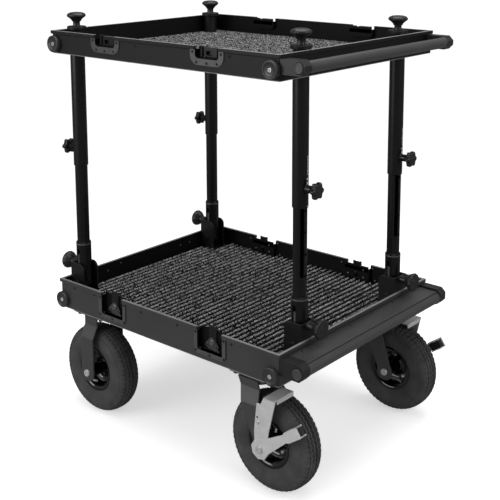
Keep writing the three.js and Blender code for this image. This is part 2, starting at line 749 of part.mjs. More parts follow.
// Caster plate: bolted plate, bearing race and kingpin with its nut
function casterPlate() {
  const raceFoot = casterPlateFoot - raceHeight;
  const nutTop = swivelCrownFoot - gap;
  return join(
    slab(casterPlateLength, casterPlateWidth, casterPlateFoot, casterPlateTop),
    rod('z', raceRadius, [raceFoot, casterPlateFoot + weld], [0, 0], knobFacets),
    rod('z', kingpinRadius, [nutTop - weld, raceFoot + weld]),
    rod('z', kingpinNutRadius, [nutTop - kingpinNutHeight, nutTop], [0, 0], lobeCount));
}

// Swivel fork: a round crown under the race and legs that lean to the trailing axle
function swivelFork() {
  const crown = rod('z', crownRadius, [swivelCrownFoot, swivelCrownTop], [0, 0], knobFacets);
  const bore = hole('z', kingpinRadius + axleClearance,
    [swivelCrownFoot - overrun, swivelCrownTop + overrun]);
  return cut(join(crown, forkStrip(casterTrail, swivelCrownTop)), bore);
}

// Axle bolt with a head at each end and a spacer each side of the hub; outer is how far
// the head on the outboard side starts from the wheel plane
function axleBolt(x, side, outer) {
  const at = [x, axleHeight];
  const inner = legOuterFoot + gap;
  const spacer = [hubHalfLength + gap, hubHalfLength + gap + spacerLength];
  return join(
    rod('y', axleRadius, [-side * (inner + weld), side * (outer + weld)], at),
    rod('y', axleHeadRadius, [-side * inner, -side * (inner + axleHeadHeight)], at),
    rod('y', axleHeadRadius, [side * outer, side * (outer + axleHeadHeight)], at),
    rod('y', spacerRadius, spacer, at),
    rod('y', spacerRadius, spacer.map((y) => -y), at));
}

// A lathed ring round a wheel's axle, with a flat of its facets on the floor; radii are
// those of the flats
function wheelRing(profile, x) {
  const flats = 1 / Math.cos(Math.PI / wheelFacets);
  const closed = [...profile, profile[0]].map(([radius, y]) => [radius * flats, y]);
  const geometry = turned(closed, wheelFacets).rotateY(Math.PI / wheelFacets);
  return solid(geometry.translate(x, 0, axleHeight));
}

// Rim: hub, web, barrel and two flanges
function rim(x) {
  const bore = axleRadius + axleClearance;
  const inside = rimBarrelRadius - rimSheet;
  const seat = rimHalfWidth - rimSheet;
  const half = [
    [hubRadius, rimSheet / 2], [inside, rimSheet / 2], [inside, rimHalfWidth],
    [rimFlangeRadius, rimHalfWidth], [rimFlangeRadius, seat], [rimBarrelRadius, seat],
  ];
  const lower = half.map(([radius, y]) => [radius, -y]);
  return wheelRing([
    [bore, -hubHalfLength], [hubRadius, -hubHalfLength], ...lower,
    ...half.reverse(), [hubRadius, hubHalfLength], [bore, hubHalfLength],
  ], x);
}

// Tyre: bead between the rim's flanges, bulged walls and a flat tread
function tyre(x) {
  const bead = rimHalfWidth - rimSheet - gap;
  const half = [
    [rimBarrelRadius + gap, bead], [rimFlangeRadius + gap, bead], [rimFlangeRadius + gap, rimHalfWidth],
    [bulgeRadius, tyreHalfWidth], [wheelRadius - shoulderDrop, shoulderHalfWidth],
    [wheelRadius, treadHalfWidth],
  ];
  const lower = half.map(([radius, y]) => [radius, -y]);
  return wheelRing([...lower, ...half.reverse()], x);
}

// Brake bracket: a side plate on the outboard leg and a shoe plate across the tread
function brakeBracket(side) {
  const inside = legOuterFoot + gap;
  const outside = inside + brakeSheet;
  const at = (points) => points.map(([x, z]) => [casterTrail + x, axleHeight + z]);
  const foot = arc([0, 0], brakeFootReach, [0, -Math.PI], cornerFacets);
  const plate = plateXZ(at([
    [brakeTopEnd, brakeTopHeight], [legWidth / 2, legWidth], ...foot, [-brakeBackReach, brakeNotchHeight],
    [0, brakeNotchHeight], [brakeTopStart, brakeTopHeight],
  ]), [side * inside, side * outside]);
  const top = axleHeight + brakeTopHeight;
  const along = [casterTrail + brakeTopStart, casterTrail + brakeTopEnd];
  const shoe = block(along, [-side * brakeReach, side * outside], [top - brakeSheet, top]);
  const flange = block([along[1] - brakeSheet, along[1]], [-side * brakeReach, side * legInnerFoot],
    [top - shoeFlange, top]);
  const bore = hole('y', axleRadius + axleClearance, [side * (inside - overrun), side * (outside + overrun)],
    [casterTrail, axleHeight]);
  return cut(join(plate, shoe, flange), bore);
}

// Brake pedal: a lever that turns on the axle, with two lips and a pad at its end
function brakePedal(side) {
  const inside = legOuterFoot + brakeSheet + 2 * gap;
  const outside = inside + leverSheet;
  const hub = arc([0, 0], leverHubRadius, [Math.PI / 4, 7 * Math.PI / 4], cornerFacets);
  const lever = plateXZ([
    ...hub, [leverHubRadius + overrun, -leverRoot], [leverStep / 2, -leverArm],
    [leverStep - leverArm, -leverArm],
    [leverStep, -leverEnd], [leverLength, -leverEnd], [leverLength, leverEnd], [leverStep, leverEnd],
    [leverStep - leverArm, leverArm], [leverStep / 2, leverArm], [leverHubRadius + overrun, leverRoot],
  ], [side * inside, side * outside]);
  const lip = (start, depth, edge) => block([start, leverLength],
    [side * (inside - depth), side * (inside + weld)], [edge * (leverEnd - pedalLip), edge * leverEnd]);
  const lips = [-1, 1].map((edge) => join(
    lip(leverLength - pedalReach, pedalDepth, edge), lip(leverStep, padDepth, edge)));
  const pad = block([leverStep + pedalLip, leverLength - pedalLip],
    [side * (inside - padDepth + weld), side * (inside + weld)], [-leverEnd + weld, leverEnd - weld]);
  const bore = hole('y', axleRadius + axleClearance, [side * (inside - overrun), side * (outside + overrun)]);
  return cut(join(lever, ...lips, pad), bore)
    .rotate([0, -THREE.MathUtils.radToDeg(leverAngle), 0])
    .translate([casterTrail, 0, axleHeight]);
}

// Latch key: a round-ended plate on a pin that turns in the hook and the dish
function latchKey(side) {
  const back = sideFace - dishDepth;
  const plateStart = back + hookSheet + gap;
  const plateEnd = plateStart + keySheet;
  const reach = keyHalfLength - keyHalfWidth;
  const outline = [
    ...arc([reach, 0], keyHalfWidth, [-Math.PI / 2, Math.PI / 2], cornerFacets),
    ...arc([-reach, 0], keyHalfWidth, [Math.PI / 2, 3 * Math.PI / 2], cornerFacets),
  ];
  return join(
    plateXZ(outline, [side * plateStart, side * plateEnd]),
    rod('y', keyPinRadius, [side * (back - dishSheet), side * (plateStart + weld)]),
    rod('y', keyBossRadius, [side * (plateEnd - weld), side * (plateEnd + keyBossHeight)]));
}

// Trays, decks, carpets, handles and step
const cart = new THREE.Group();
const lowerRails = trayRails(lowerRim, lowerFoot, lowerDeckTop - sheet - gap, lowerLedge);
const upperRails = trayRails(upperRim, upperFoot, upperFoot + sheet, upperLedge);
const lowerPans = withDishes(lowerRails, lowerRim, lowerDishFloor, lowerDishWidth);
const upperPans = withDishes(upperRails, upperRim, upperDishFloor, upperDishWidth);
cart.add(
  piece('lower_frame', withBumpers(withHooks(lowerPans), lowerFoot + lowerBumperRise), finish.anodised),
  piece('lower_deck', lowerDeck(), finish.anodised),
  piece('lower_carpet', lowerCarpet(), finish.carpet),
  piece('lower_handle', pushHandle(lowerHandle, lowerRim), finish.anodised),
  piece('step_plate', stepPlate(), finish.anodised),
  piece('upper_frame', withBumpers(upperPans, upperFoot + upperBumperRise), finish.anodised),
  piece('upper_deck', upperDeck(), finish.anodised),
  piece('upper_carpet', upperCarpet(), finish.carpet),
  piece('upper_handle', pushHandle(upperHandle, upperRim), finish.anodised));

// Posts, each with its hinge bracket and three knobs
for (const { name, x, y, turn } of posts) {
  const post = new THREE.Group();
  post.position.set(x, y, 0);
  post.rotation.z = turn;
  post.add(
    piece(`hinge_bracket_${name}`, hingeBracket(), finish.steel),
    piece(`base_knob_${name}`, baseKnob(), finish.plastic),
    piece(`inner_post_${name}`, innerPost(), finish.tube),
    piece(`outer_post_${name}`, outerPost(), finish.tube),
    piece(`height_knob_${name}`, heightKnob(), finish.plastic),
    piece(`tray_knob_${name}`, trayKnob(), finish.plastic));
  cart.add(post);
}

// Casters: fixed at the rear, swivelling and braked at the front
for (const [name, side] of [['near', -1], ['far', 1]]) {
  const rear = new THREE.Group();
  rear.position.set(rearWheelX, side * wheelY, 0);
  rear.add(
    piece(`rear_fork_${name}`, rearFork(), finish.steel),
    piece(`rear_axle_${name}`, axleBolt(0, side, legOuterFoot + gap), finish.zinc),
    piece(`rear_rim_${name}`, rim(0), finish.rim),
    piece(`rear_tyre_${name}`, tyre(0), finish.rubber));
  const front = new THREE.Group();
  front.position.set(frontPivotX, side * wheelY, 0);
  const leverOutside = legOuterFoot + brakeSheet + leverSheet + 3 * gap;
  front.add(
    piece(`caster_plate_${name}`, casterPlate(), finish.steel),
    piece(`swivel_fork_${name}`, swivelFork(), finish.steel),
    piece(`front_axle_${name}`, axleBolt(casterTrail, side, leverOutside), finish.zinc),
    piece(`front_rim_${name}`, rim(casterTrail), finish.rim),
    piece(`front_tyre_${name}`, tyre(casterTrail), finish.rubber),
    piece(`brake_bracket_${name}`, brakeBracket(side), finish.zinc),
    piece(`brake_pedal_${name}`, brakePedal(side), finish.zinc));
  cart.add(rear, front);
}

// Latch keys in the lower dishes
for (const [end, x] of [['rear', dishPlaces[0]], ['front', dishPlaces[1]]]) {
  for (const [name, side] of [['near', -1], ['far', 1]]) {
    const key = piece(`latch_key_${end}_${name}`, latchKey(side), finish.plastic);
    key.position.set(x, 0, lowerRim - keyDrop);
    cart.add(key);
  }
}

// The cart stands with the middle of its outline over the origin
const outline = new THREE.Box3().setFromObject(cart);
const middle = outline.getCenter(new THREE.Vector3());
cart.position.set(-middle.x, -middle.y, 0);

export default cart;
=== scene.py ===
"""Looks of the two-deck camera cart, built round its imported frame.

Lengths are in millimetres and drawn about the middle of the trays, with +X towards the push
handles, +Y towards the far long side and +Z up, until a piece is seated in metres.
"""

import logging
import math
from dataclasses import dataclass
from enum import Enum
from typing import Callable, Iterable, Sequence

import bmesh
import bpy
from mathutils import Matrix, Vector
from mathutils.geometry import convex_hull_2d


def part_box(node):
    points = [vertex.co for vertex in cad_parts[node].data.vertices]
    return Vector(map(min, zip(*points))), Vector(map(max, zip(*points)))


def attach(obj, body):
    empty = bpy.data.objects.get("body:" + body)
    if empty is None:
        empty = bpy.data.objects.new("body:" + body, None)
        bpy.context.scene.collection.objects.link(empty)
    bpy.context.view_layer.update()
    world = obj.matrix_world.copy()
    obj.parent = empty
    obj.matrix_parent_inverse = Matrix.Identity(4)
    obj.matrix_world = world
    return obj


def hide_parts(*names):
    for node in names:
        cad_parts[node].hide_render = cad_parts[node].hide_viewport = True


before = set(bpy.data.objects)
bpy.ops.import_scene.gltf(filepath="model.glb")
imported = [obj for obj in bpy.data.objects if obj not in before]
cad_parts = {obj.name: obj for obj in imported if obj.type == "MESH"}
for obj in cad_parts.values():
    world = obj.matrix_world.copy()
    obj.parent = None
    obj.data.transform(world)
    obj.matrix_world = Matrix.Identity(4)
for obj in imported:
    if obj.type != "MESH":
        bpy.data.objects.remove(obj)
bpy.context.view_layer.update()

LOG = logging.getLogger("camera_cart")
METRE = 0.001
FINE = 64                      # facets round a tube
SIDES = (-1, 1)
SIDE_NAMES = {-1: "near", 1: "far"}
AXLE_Z = 125.0
FOLD_Z = 365.0
BASE_KNOB_Z = 412.0
HEIGHT_KNOB_Z = 752.0
PLATE_FOOT = 290.7             # underside of the casters' plates
LEG_FACE = 57.3                # outer face of a fork's leg from the wheel's plane, with its gap
RAIL_FACE = 396.3              # outer face of the end rails, with its gap
DECK_TOP = 326.3               # top of the lower deck, with its gap
POST_PLACES = (("rear", -365, 268, 0), ("front", 365, 208, 180))    # end, X, Y and turn of each pair
Point = tuple[float, float, float]
Outline = Sequence[tuple[float, float]]


def middle_of_trays() -> float:
    """Return the X place of the drawing's middle in the row frame, in metres."""
    low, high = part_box("lower_carpet")
    return (low.x + high.x) / 2


SHIFT = Matrix.Translation((middle_of_trays(), 0, 0)) @ Matrix.Scale(METRE, 4)


class Wire:
    """A shader socket that takes part in sums written in Python."""

    def __init__(self, bench: "Bench", socket: bpy.types.NodeSocket) -> None:
        """Keep the socket and the bench that its sums are built on."""
        self.bench = bench
        self.socket = socket

    def __add__(self, other: "Wire | float") -> "Wire":
        """Return the sum."""
        return self.bench.maths("ADD", self, other)

    def __sub__(self, other: "Wire | float") -> "Wire":
        """Return the difference."""
        return self.bench.maths("SUBTRACT", self, other)

    def __mul__(self, other: "Wire | float") -> "Wire":
        """Return the product."""
        return self.bench.maths("MULTIPLY", self, other)

    def __pow__(self, other: "Wire | float") -> "Wire":
        """Return the power."""
        return self.bench.maths("POWER", self, other)

    def __gt__(self, other: "Wire | float") -> "Wire":
        """Return 1 where this value is the greater, and else 0."""
        return self.bench.maths("GREATER_THAN", self, other)

    __radd__ = __add__


class Bench:
    """A node tree under construction."""

    def __init__(self, tree: bpy.types.NodeTree) -> None:
        """Start on an empty tree."""
        self.tree = tree
        tree.nodes.clear()

    def node(self, kind: str, sockets: dict | None = None, **settings: object) -> bpy.types.Node:
        """Add a node.

        Args:
            kind: The node's type.
            sockets: Values or links of its inputs, by name or number.
            settings: Its own settings, set first.

        Returns:
            The new node.
        """
        made = self.tree.nodes.new(kind)
        for key, value in settings.items():
            setattr(made, key, value)
        for key, value in (sockets or {}).items():
            value = value.socket if isinstance(value, Wire) else value
            if isinstance(value, bpy.types.NodeSocket):
                self.tree.links.new(value, made.inputs[key])
            else:
                made.inputs[key].default_value = value
        return made

    def wire(self, kind: str, output: str | int, sockets: dict | None = None, **settings: object) -> Wire:
        """Add a node and return one of its outputs as a wire."""
        return Wire(self, self.node(kind, sockets, **settings).outputs[output])

    def maths(self, operation: str, first: "Wire | float", second: "Wire | float") -> Wire:
        """Add a Math node on two values and return its result."""
        return self.wire("ShaderNodeMath", 0, {0: first, 1: second}, operation=operation)

    def blend(self, share: "Wire | float", first: object, second: object) -> Wire:
        """Mix two colours, with share telling from 0 to 1 how much there is of the second."""
        return self.wire("ShaderNodeMix", 2, {0: share, 6: first, 7: second}, data_type="RGBA")


class SkinBench(Bench):
    """The tree of a material with one Principled surface on Object coordinates."""

    def __init__(self, name: str, constants: dict) -> None:
        """Start the material.

        Args:
            name: The material's name.
            constants: Values of the surface's own sockets that are the same all over.
        """
        self.material = bpy.data.materials.new(name)
        self.material.use_nodes = True
        super().__init__(self.material.node_tree)
        self.surface = self.node("ShaderNodeBsdfPrincipled", constants)
        self.node("ShaderNodeOutputMaterial", {"Surface": self.surface.outputs["BSDF"]})
        self.place = self.wire("ShaderNodeTexCoord", "Object")

    def noise(self, size: float, detail: float = 2.0, stretch: Point = (1, 1, 1)) -> Wire:
        """Return smooth noise from 0 to 1.

        Args:
            size: Size of its lumps, in millimetres.
            detail: Octaves of finer noise.
            stretch: Scale along each axis, below 1 for longer lumps.

        Returns:
            The noise.
        """
        place = self.place
        if stretch != (1, 1, 1):
            place = self.wire("ShaderNodeMapping", 0, {"Vector": place, "Scale": stretch})
        scale = 1 / (size * METRE)
        return self.wire("ShaderNodeTexNoise", 0, {"Vector": place, "Scale": scale, "Detail": detail})

    def cells(self, size: float, output: str = "Distance") -> Wire:
        """Return a pattern of cells of one size in millimetres, by distance or by random colour."""
        return self.wire("ShaderNodeTexVoronoi", output, {"Vector": self.place, "Scale": 1 / (size * METRE)})

    def height(self) -> Wire:
        """Return the place above the floor, in metres."""
        return self.wire("ShaderNodeSeparateXYZ", 2, {0: self.place})

    def feed(self, **sockets: Wire) -> None:
        """Link wires to the surface's sockets, whose names are written with underscores."""
        for key, wire in sockets.items():
            self.tree.links.new(wire.socket, self.surface.inputs[key.replace("_", " ")])

    def relief(self, height: Wire, depth: float) -> None:
        """Bump the surface by a wire, to a depth in millimetres."""
        sockets = {"Height": height, "Distance": depth * METRE, "Strength": 1.0}
        self.feed(Normal=self.wire("ShaderNodeBump", 0, sockets))


def tone(level: float, tint: Point = (1, 1, 1)) -> tuple[float, float, float, float]:
    """Turn a display level into a linear colour.

    Args:
        level: The level, from 0 to 255.
        tint: Factors of red, green and blue.

    Returns:
        The colour, with full alpha.
    """
    share = level / 255
    linear = share / 12.92 if share <= 0.04045 else ((share + 0.055) / 1.055) ** 2.4
    return (linear * tint[0], linear * tint[1], linear * tint[2], 1.0)


class Grain(Enum):
    """How the texture of a hard finish runs."""

    EVEN = (1.0, 1.0, 1.0)
    ALONG_Y = (1.0, 0.05, 1.0)
    ALONG_Z = (1.0, 1.0, 0.05)
    ALONG_X = (0.05, 1.0, 1.0)


@dataclass(frozen=True)
class HardFinish:
    """Anodised, painted, plated or moulded skin: clouded colour, uneven gloss and fine grain."""

    name: str
    level: float
    roughness: float
    metallic: float = 0.0
    cloud: float = 0.18
    cloud_size: float = 70.0
    grain_size: float = 0.5
    grain_depth: float = 0.01
    gloss_change: float = 0.08
    grain: Grain = Grain.EVEN
    coat: float = 0.0
    tint: Point = (1, 1, 1)
    specular: float = 0.5

    def material(self) -> bpy.types.Material:
        """Build the material.

        Returns:
            The material.
        """
        bench = SkinBench(self.name, {"Metallic": self.metallic, "Coat Weight": self.coat,
                                      "Coat Roughness": 0.08, "Specular IOR Level": self.specular})
        cloud = bench.noise(self.cloud_size, 3.0)
        fine = bench.noise(self.grain_size, 2.0, self.grain.value)
        low, high = (tone(self.level * (1 + change), self.tint) for change in (-self.cloud, self.cloud))
        bench.feed(Base_Color=bench.blend(cloud * 0.7 + fine * 0.3, low, high))
        swing = self.gloss_change
        bench.feed(Roughness=(cloud - 0.5) * swing + (fine - 0.5) * swing + self.roughness)
        bench.relief(fine, self.grain_depth)
        return bench.material


@dataclass(frozen=True)
class CarpetFinish:
    """Black pile with grey-white flecks, with painted shade darkening it and fading its flecks down between
    its rows.
    """

    name: str
    foot: float
    crest: float
    fleck_share: float
    fleck_level: float
    ground_level: float
    fleck_size: float

    def material(self) -> bpy.types.Material:
        """Build the material.

        Returns:
            The material.
        """
        bench = SkinBench(self.name, {"Roughness": 1.0, "Specular IOR Level": 0.1})
        cells = bench.cells(self.fleck_size, "Color")
        dice, shade = (bench.wire("ShaderNodeSeparateColor", channel, {0: cells}) for channel in (0, 1))
        # Painted shade: the pile darkens and its flecks fade towards the foot of the rows, where shade falls
        # between them.
        rise = (bench.height() - self.foot * METRE) * (1 / ((self.crest - self.foot) * METRE))
        rise = bench.wire("ShaderNodeClamp", 0, {0: rise})
        fleck = (dice > 1 - self.fleck_share) * (0.35 + shade * 0.65) * rise
        ground = bench.blend(rise, tone(self.ground_level * 0.3), tone(self.ground_level))
        bench.feed(Base_Color=bench.blend(fleck, ground, tone(self.fleck_level)))
        bench.relief(bench.noise(1.1, 3.0), 0.7)
        return bench.material


@dataclass(frozen=True)
class RubberFinish:
    """Matte rubber with dusty patches and a moulded grain."""

    name: str
    level: float
    roughness: float = 0.78

    def material(self) -> bpy.types.Material:
        """Build the material.

        Returns:
            The material.
        """
        bench = SkinBench(self.name, {"Specular IOR Level": 0.35})
        dust = bench.noise(38.0, 5.0)
        grain = bench.noise(0.9, 3.0)
        share = dust ** 2.0 + grain * 0.25
        bench.feed(Base_Color=bench.blend(share, tone(self.level * 0.75), tone(self.level * 1.35)))
        bench.feed(Roughness=(dust - 0.5) * 0.2 + self.roughness)
        bench.relief(grain * 0.6 + bench.cells(1.7) * 0.4, 0.12)
        return bench.material


# Painted light: the lower rails' black is set lighter than the upper rails' same black, standing in for light
# bounced up from the floor.
BOUNCE_LIT_RAIL = HardFinish("satin_black_rail_painted_bounce_light", 58, 0.42, 0.0, 0.12, 160, 0.35, 0.006)
# The upper rails' black, without the lower rails' painted bounce light.
UPPER_RAIL = HardFinish("satin_black_upper_rail", 17, 0.5, 0.0, 0.12, 160, 0.35, 0.006, specular=0.35)
# Painted shade: a near-black for the rails' inner faces and the latch pans' insides, where shade falls.
PAINTED_SHADE_INSIDE = HardFinish("painted_shade_inner_rail", 7, 0.55, 0.0, 0.12, 160, 0.35, 0.006, specular=0.2)
# Painted highlight: light grey for the rails' lip tops and foot edge, standing in for the light those edges
# catch.
PAINTED_HIGHLIGHT_EDGE = HardFinish("painted_highlight_rail_edge", 150, 0.3, 0.2, 0.12, 60, 0.35, 0.004)
# Painted shadow and shade: a black for the strip beside each dish flange, the ring round each handle cap and
# the drops in the key dimples.
PAINTED_SHADOW_BLACK = HardFinish("painted_shadow_black", 4, 0.8, 0.0, 0.1, 60, 0.35, 0.0)
STUD = HardFinish("dull_stud", 130, 0.35, 0.9, 0.15, 6, 0.3, 0.006)
PAN = HardFinish("brushed_black_pan", 84, 0.32, 0.3, 0.2, 20, 0.5, 0.01, grain=Grain.ALONG_X)
CATCH = HardFinish("glossy_black_catch", 34, 0.24, 0.4, 0.25, 15, 0.6, 0.01)
KEY = HardFinish("glossy_black_key", 72, 0.24, 0.4, 0.25, 15, 0.6, 0.01)
RIVET = HardFinish("dark_rivet", 30, 0.3, 0.6, 0.2, 8, 0.3, 0.005)
BRIGHT = HardFinish("bright_screw", 200, 0.25, 0.4, 0.15, 6, 0.3, 0.006)
STEEL = HardFinish("black_powder_coat", 62, 0.48, 0.0, 0.14, 60, 0.8, 0.03)
DARK_STEEL = HardFinish("satin_black_steel", 16, 0.4, 0.0, 0.14, 60, 0.8, 0.02)
TUBE = HardFinish("black_tube", 13, 0.3, 0.0, 0.15, 120, 0.5, 0.006, grain=Grain.ALONG_Z)
INNER = HardFinish("black_inner_tube", 12, 0.26, 0.0, 0.15, 120, 0.5, 0.006, grain=Grain.ALONG_Z)
# Partly painted highlight: the push tubes' satin black is set lighter than their brackets', standing in for
# the long highlight along the tubes' tops.
HIGHLIGHT_LIT_HANDLE = HardFinish("satin_black_handle_painted_highlight", 70, 0.34, 0.1, 0.12, 90, 0.5, 0.006, grain=Grain.ALONG_Y)
BRACKET = HardFinish("satin_black_bracket", 38, 0.36, 0.1, 0.12, 90, 0.5, 0.006)
# Painted highlight: the bumpers' moulded plastic is set lighter than the knobs' black plastic, standing in
# for highlights on their rings.
HIGHLIGHT_LIT_BUMPER = HardFinish("moulded_bumper_painted_highlight", 50, 0.36, 0.0, 0.15, 30, 0.6, 0.03)
PLASTIC = HardFinish("moulded_black_plastic", 30, 0.36, 0.0, 0.15, 30, 0.6, 0.03)
ZINC = HardFinish("zinc_plate", 215, 0.3, 0.35, 0.1, 24, 0.7, 0.015, grain=Grain.ALONG_Z)
# Painted light: the step's satin black is set lighter than the other satin blacks, standing in for the
# overhead light on its top.
OVERHEAD_LIT_STEP = HardFinish("satin_black_step_painted_light", 72, 0.38, 0.1, 0.14, 60, 0.5, 0.006, grain=Grain.ALONG_Y)
RIM = HardFinish("gloss_black_rim", 5, 0.16, 0.0, 0.2, 50, 6.0, 0.05, 0.04, coat=0.6)
BRASS = HardFinish("brass_valve", 180, 0.3, 1.0, 0.15, 10, 0.4, 0.01, tint=(1.0, 0.82, 0.45))
PAD = HardFinish("rubber_pad", 30, 0.8, 0.0, 0.2, 12, 0.8, 0.05)
WHITE_MARK = HardFinish("white_scale_mark", 215, 0.6, 0.0, 0.1, 6, 0.3, 0.005)
TYRE = RubberFinish("tyre_rubber", 64.0)
LOWER_PILE = CarpetFinish("ribbed_carpet_pile", 328.2, 330.9, 0.5, 225, 22.0, 2.3)
UPPER_PILE = CarpetFinish("flat_carpet_pile", 1030.2, 1034.0, 0.42, 165, 20.0, 3.2)

Finish = HardFinish | CarpetFinish | RubberFinish
MADE: dict[str, bpy.types.Material] = {}


def skin(finish: Finish) -> bpy.types.Material:
    """Build the material of a finish, once.

    Args:
        finish: The finish.

    Returns:
        Its material.
    """
    if finish.name not in MADE:
        MADE[finish.name] = finish.material()
    return MADE[finish.name]


class Axis(Enum):
    """The axis that an outline is drawn out along, or a profile is turned about."""

    X = Matrix(((0, 0, 1, 0), (1, 0, 0, 0), (0, 1, 0, 0), (0, 0, 0, 1)))
    Y = Matrix(((1, 0, 0, 0), (0, 0, 1, 0), (0, 1, 0, 0), (0, 0, 0, 1)))
    Z = Matrix.Identity(4)


class Cut(Enum):
    """What carving leaves of the stock."""

    AWAY = "DIFFERENCE"
    SHARED = "INTERSECT"


class Stock:
    """Mesh stock drawn in millimetres, with a place that its shapes are moved by."""

    def __init__(self, place: Matrix | None = None) -> None:
        """Start with no shapes."""
        self.mesh = bmesh.new()
        self.place = place or Matrix.Identity(4)

    def skin(self, points: Iterable[Point], faces: Iterable[Sequence[int]], mark: int = 0) -> "Stock":
        """Add points and the faces between them.

        Args:
            points: The points.
            faces: Numbers of the points round each face.
            mark: Which of the piece's finishes the faces wear.

        Returns:
            The stock.
        """
        corners = [self.mesh.verts.new(self.place @ Vector(point)) for point in points]
        for face in faces:
            self.mesh.faces.new([corners[i] for i in face]).material_index = mark
        return self

    def prism(self, outline: Outline, axis: Axis, span: Sequence[float], mark: int = 0) -> "Stock":
        """Draw an outline out along an axis.

        Args:
            outline: The outline, across the axis.
            axis: The axis.
            span: The two places along it.
            mark: The finish.

        Returns:
            The stock.
        """
        count = len(outline)
        points = [axis.value @ Vector((a, b, c)) for c in span for a, b in outline]
        sides = [(i, (i + 1) % count, count + (i + 1) % count, count + i) for i in range(count)]
        return self.skin(points, [*sides, range(count), range(count, 2 * count)], mark)

    def block(self, xs: Sequence[float], ys: Sequence[float], zs: Sequence[float], mark: int = 0) -> "Stock":
        """Add a box between two places on each axis."""
        outline = [(xs[0], ys[0]), (xs[1], ys[0]), (xs[1], ys[1]), (xs[0], ys[1])]
        return self.prism(outline, Axis.Z, zs, mark)

    def turn(self, profile: Outline, axis: Axis, at: Point = (0, 0, 0), steps: int = FINE, mark: int = 0,
             ring: bool = False, lobes: tuple[int, float] = (0, 0.0)) -> "Stock":
        """Turn a profile of radius and height about an axis.

        Args:
            profile: Radius and height of each point; radius 0 makes a pole.
            axis: The axis, through at.
            at: A point on the axis, from which heights count.
            steps: Facets round the axis.
            mark: The finish.
            ring: Whether the last point joins the first.
            lobes: Number of hollows round the rim, and their depth as a share of the radius.

        Returns:
            The stock.
        """
        largest = max(radius for radius, _ in profile)
        points: list[Vector] = []
        rows: list[list[int]] = []
        for radius, height in profile:
            row = []
            for i in range(1 if radius < 1e-6 else steps):
                angle = 2 * math.pi * i / steps
                hollow = (1 - math.cos(lobes[0] * angle)) / 2
                reach = radius * (1 - lobes[1] * hollow * (radius / largest) ** 2)
                spot = Vector((reach * math.cos(angle), reach * math.sin(angle), height))
                row.append(len(points))
                points.append(Vector(at) + (axis.value @ spot))
            rows.append(row * (1 if len(row) > 1 else steps))
        faces = []
        for low, high in [*zip(rows, rows[1:]), *([(rows[-1], rows[0])] if ring else [])]:
            for i in range(steps):
                j = (i + 1) % steps
                face = list(dict.fromkeys((low[i], low[j], high[j], high[i])))
                if len(face) > 2:
                    faces.append(face)
        return self.skin(points, faces, mark)

    def rod(self, radius: float, axis: Axis, span: Sequence[float], at: Point = (0, 0, 0), mark: int = 0,
            chamfer: float = 0.0, steps: int = FINE) -> "Stock":
        """Add a round bar along an axis, with its two edges chamfered.

        Args:
            radius: Its radius.
            axis: The axis, through at.
            span: Its two ends along the axis, counted from at.
            at: A point on the axis.
            mark: The finish.
            chamfer: Width of the chamfers, 0 for none.
            steps: Facets round it.

        Returns:
            The stock.
        """
        low, high = span
        body = [(radius, low), (radius, high)]
        if chamfer:
            body = [(radius - chamfer, low), (radius, low + chamfer), (radius, high - chamfer),
                    (radius - chamfer, high)]
        return self.turn([(0, low), *body, (0, high)], axis, at, steps, mark)

    def hose(self, path: Sequence[Point], radius: float, mark: int = 0, sides: int = 16) -> "Stock":
        """Add a round hose along a path, closed at both ends.

        Args:
            path: Points of its middle line.
            radius: Its radius.
            mark: The finish.
            sides: Facets round it.

        Returns:
            The stock.
        """
        places = [Vector(point) for point in path]
        points = []
        side = (places[1] - places[0]).normalized().orthogonal().normalized()
        for i, place in enumerate(places):
            ahead = (places[min(i + 1, len(places) - 1)] - places[max(i - 1, 0)]).normalized()
            side = (side - ahead * side.dot(ahead)).normalized()
            across = ahead.cross(side)
            for j in range(sides):
                angle = 2 * math.pi * j / sides
                points.append(place + radius * (side * math.cos(angle) + across * math.sin(angle)))
        last = (len(places) - 1) * sides
        ends = [range(sides), range(last, last + sides)]
        return self.skin(points, [*grid_faces(len(places), sides, False), *ends], mark)

    def surround(self, section: Outline, half_x: float, half_y: float) -> "Stock":
        """Run a closed section round a rectangle, mitred at its corners.

        Args:
            section: Points of the section, as places out and heights.
            half_x: Half of the rectangle along X.
            half_y: Half of the rectangle along Y.

        Returns:
            The stock.
        """
        corners = [(1, 1), (-1, 1), (-1, -1), (1, -1)]
        points = [(a * (half_x + out), b * (half_y + out), z) for a, b in corners for out, z in section]
        return self.skin(points, grid_faces(len(corners), len(section), True))

    def paint(self, mark: int, test: Callable[[Vector, Vector], bool]) -> "Stock":
        """Give some faces another of the piece's finishes.

        Args:
            mark: The finish.
            test: Picks a face by its normal and its middle.

        Returns:
            The stock.
        """
        bmesh.ops.recalc_face_normals(self.mesh, faces=self.mesh.faces)
        for face in self.mesh.faces:
            if test(face.normal, face.calc_center_median()):
                face.material_index = mark
        return self

    def take(self, other: "Stock") -> "Stock":
        """Add another stock's shapes to this one.

        Args:
            other: The other stock.

        Returns:
            This stock.
        """
        copy = bpy.data.meshes.new("shapes")
        other.mesh.to_mesh(copy)
        self.mesh.from_mesh(copy)
        return self

    def carve(self, tool: "Stock", cut: Cut = Cut.AWAY) -> "Stock":
        """Cut this stock by another, or keep what they have in common.

        Args:
            tool: The other stock.
            cut: Whether the tool's room goes, or only what both share stays.

        Returns:
            This stock.
        """
        body, cutter = plain_object("carved", self.mesh), plain_object("cutter", tool.mesh)
        change = body.modifiers.new("cut", "BOOLEAN")
        change.operation, change.solver, change.object = cut.value, "EXACT", cutter
        settled = settled_mesh(body)
        self.mesh = bmesh.new()
        self.mesh.from_mesh(settled)
        for spare in (body, cutter):
            bpy.data.objects.remove(spare)
        return self


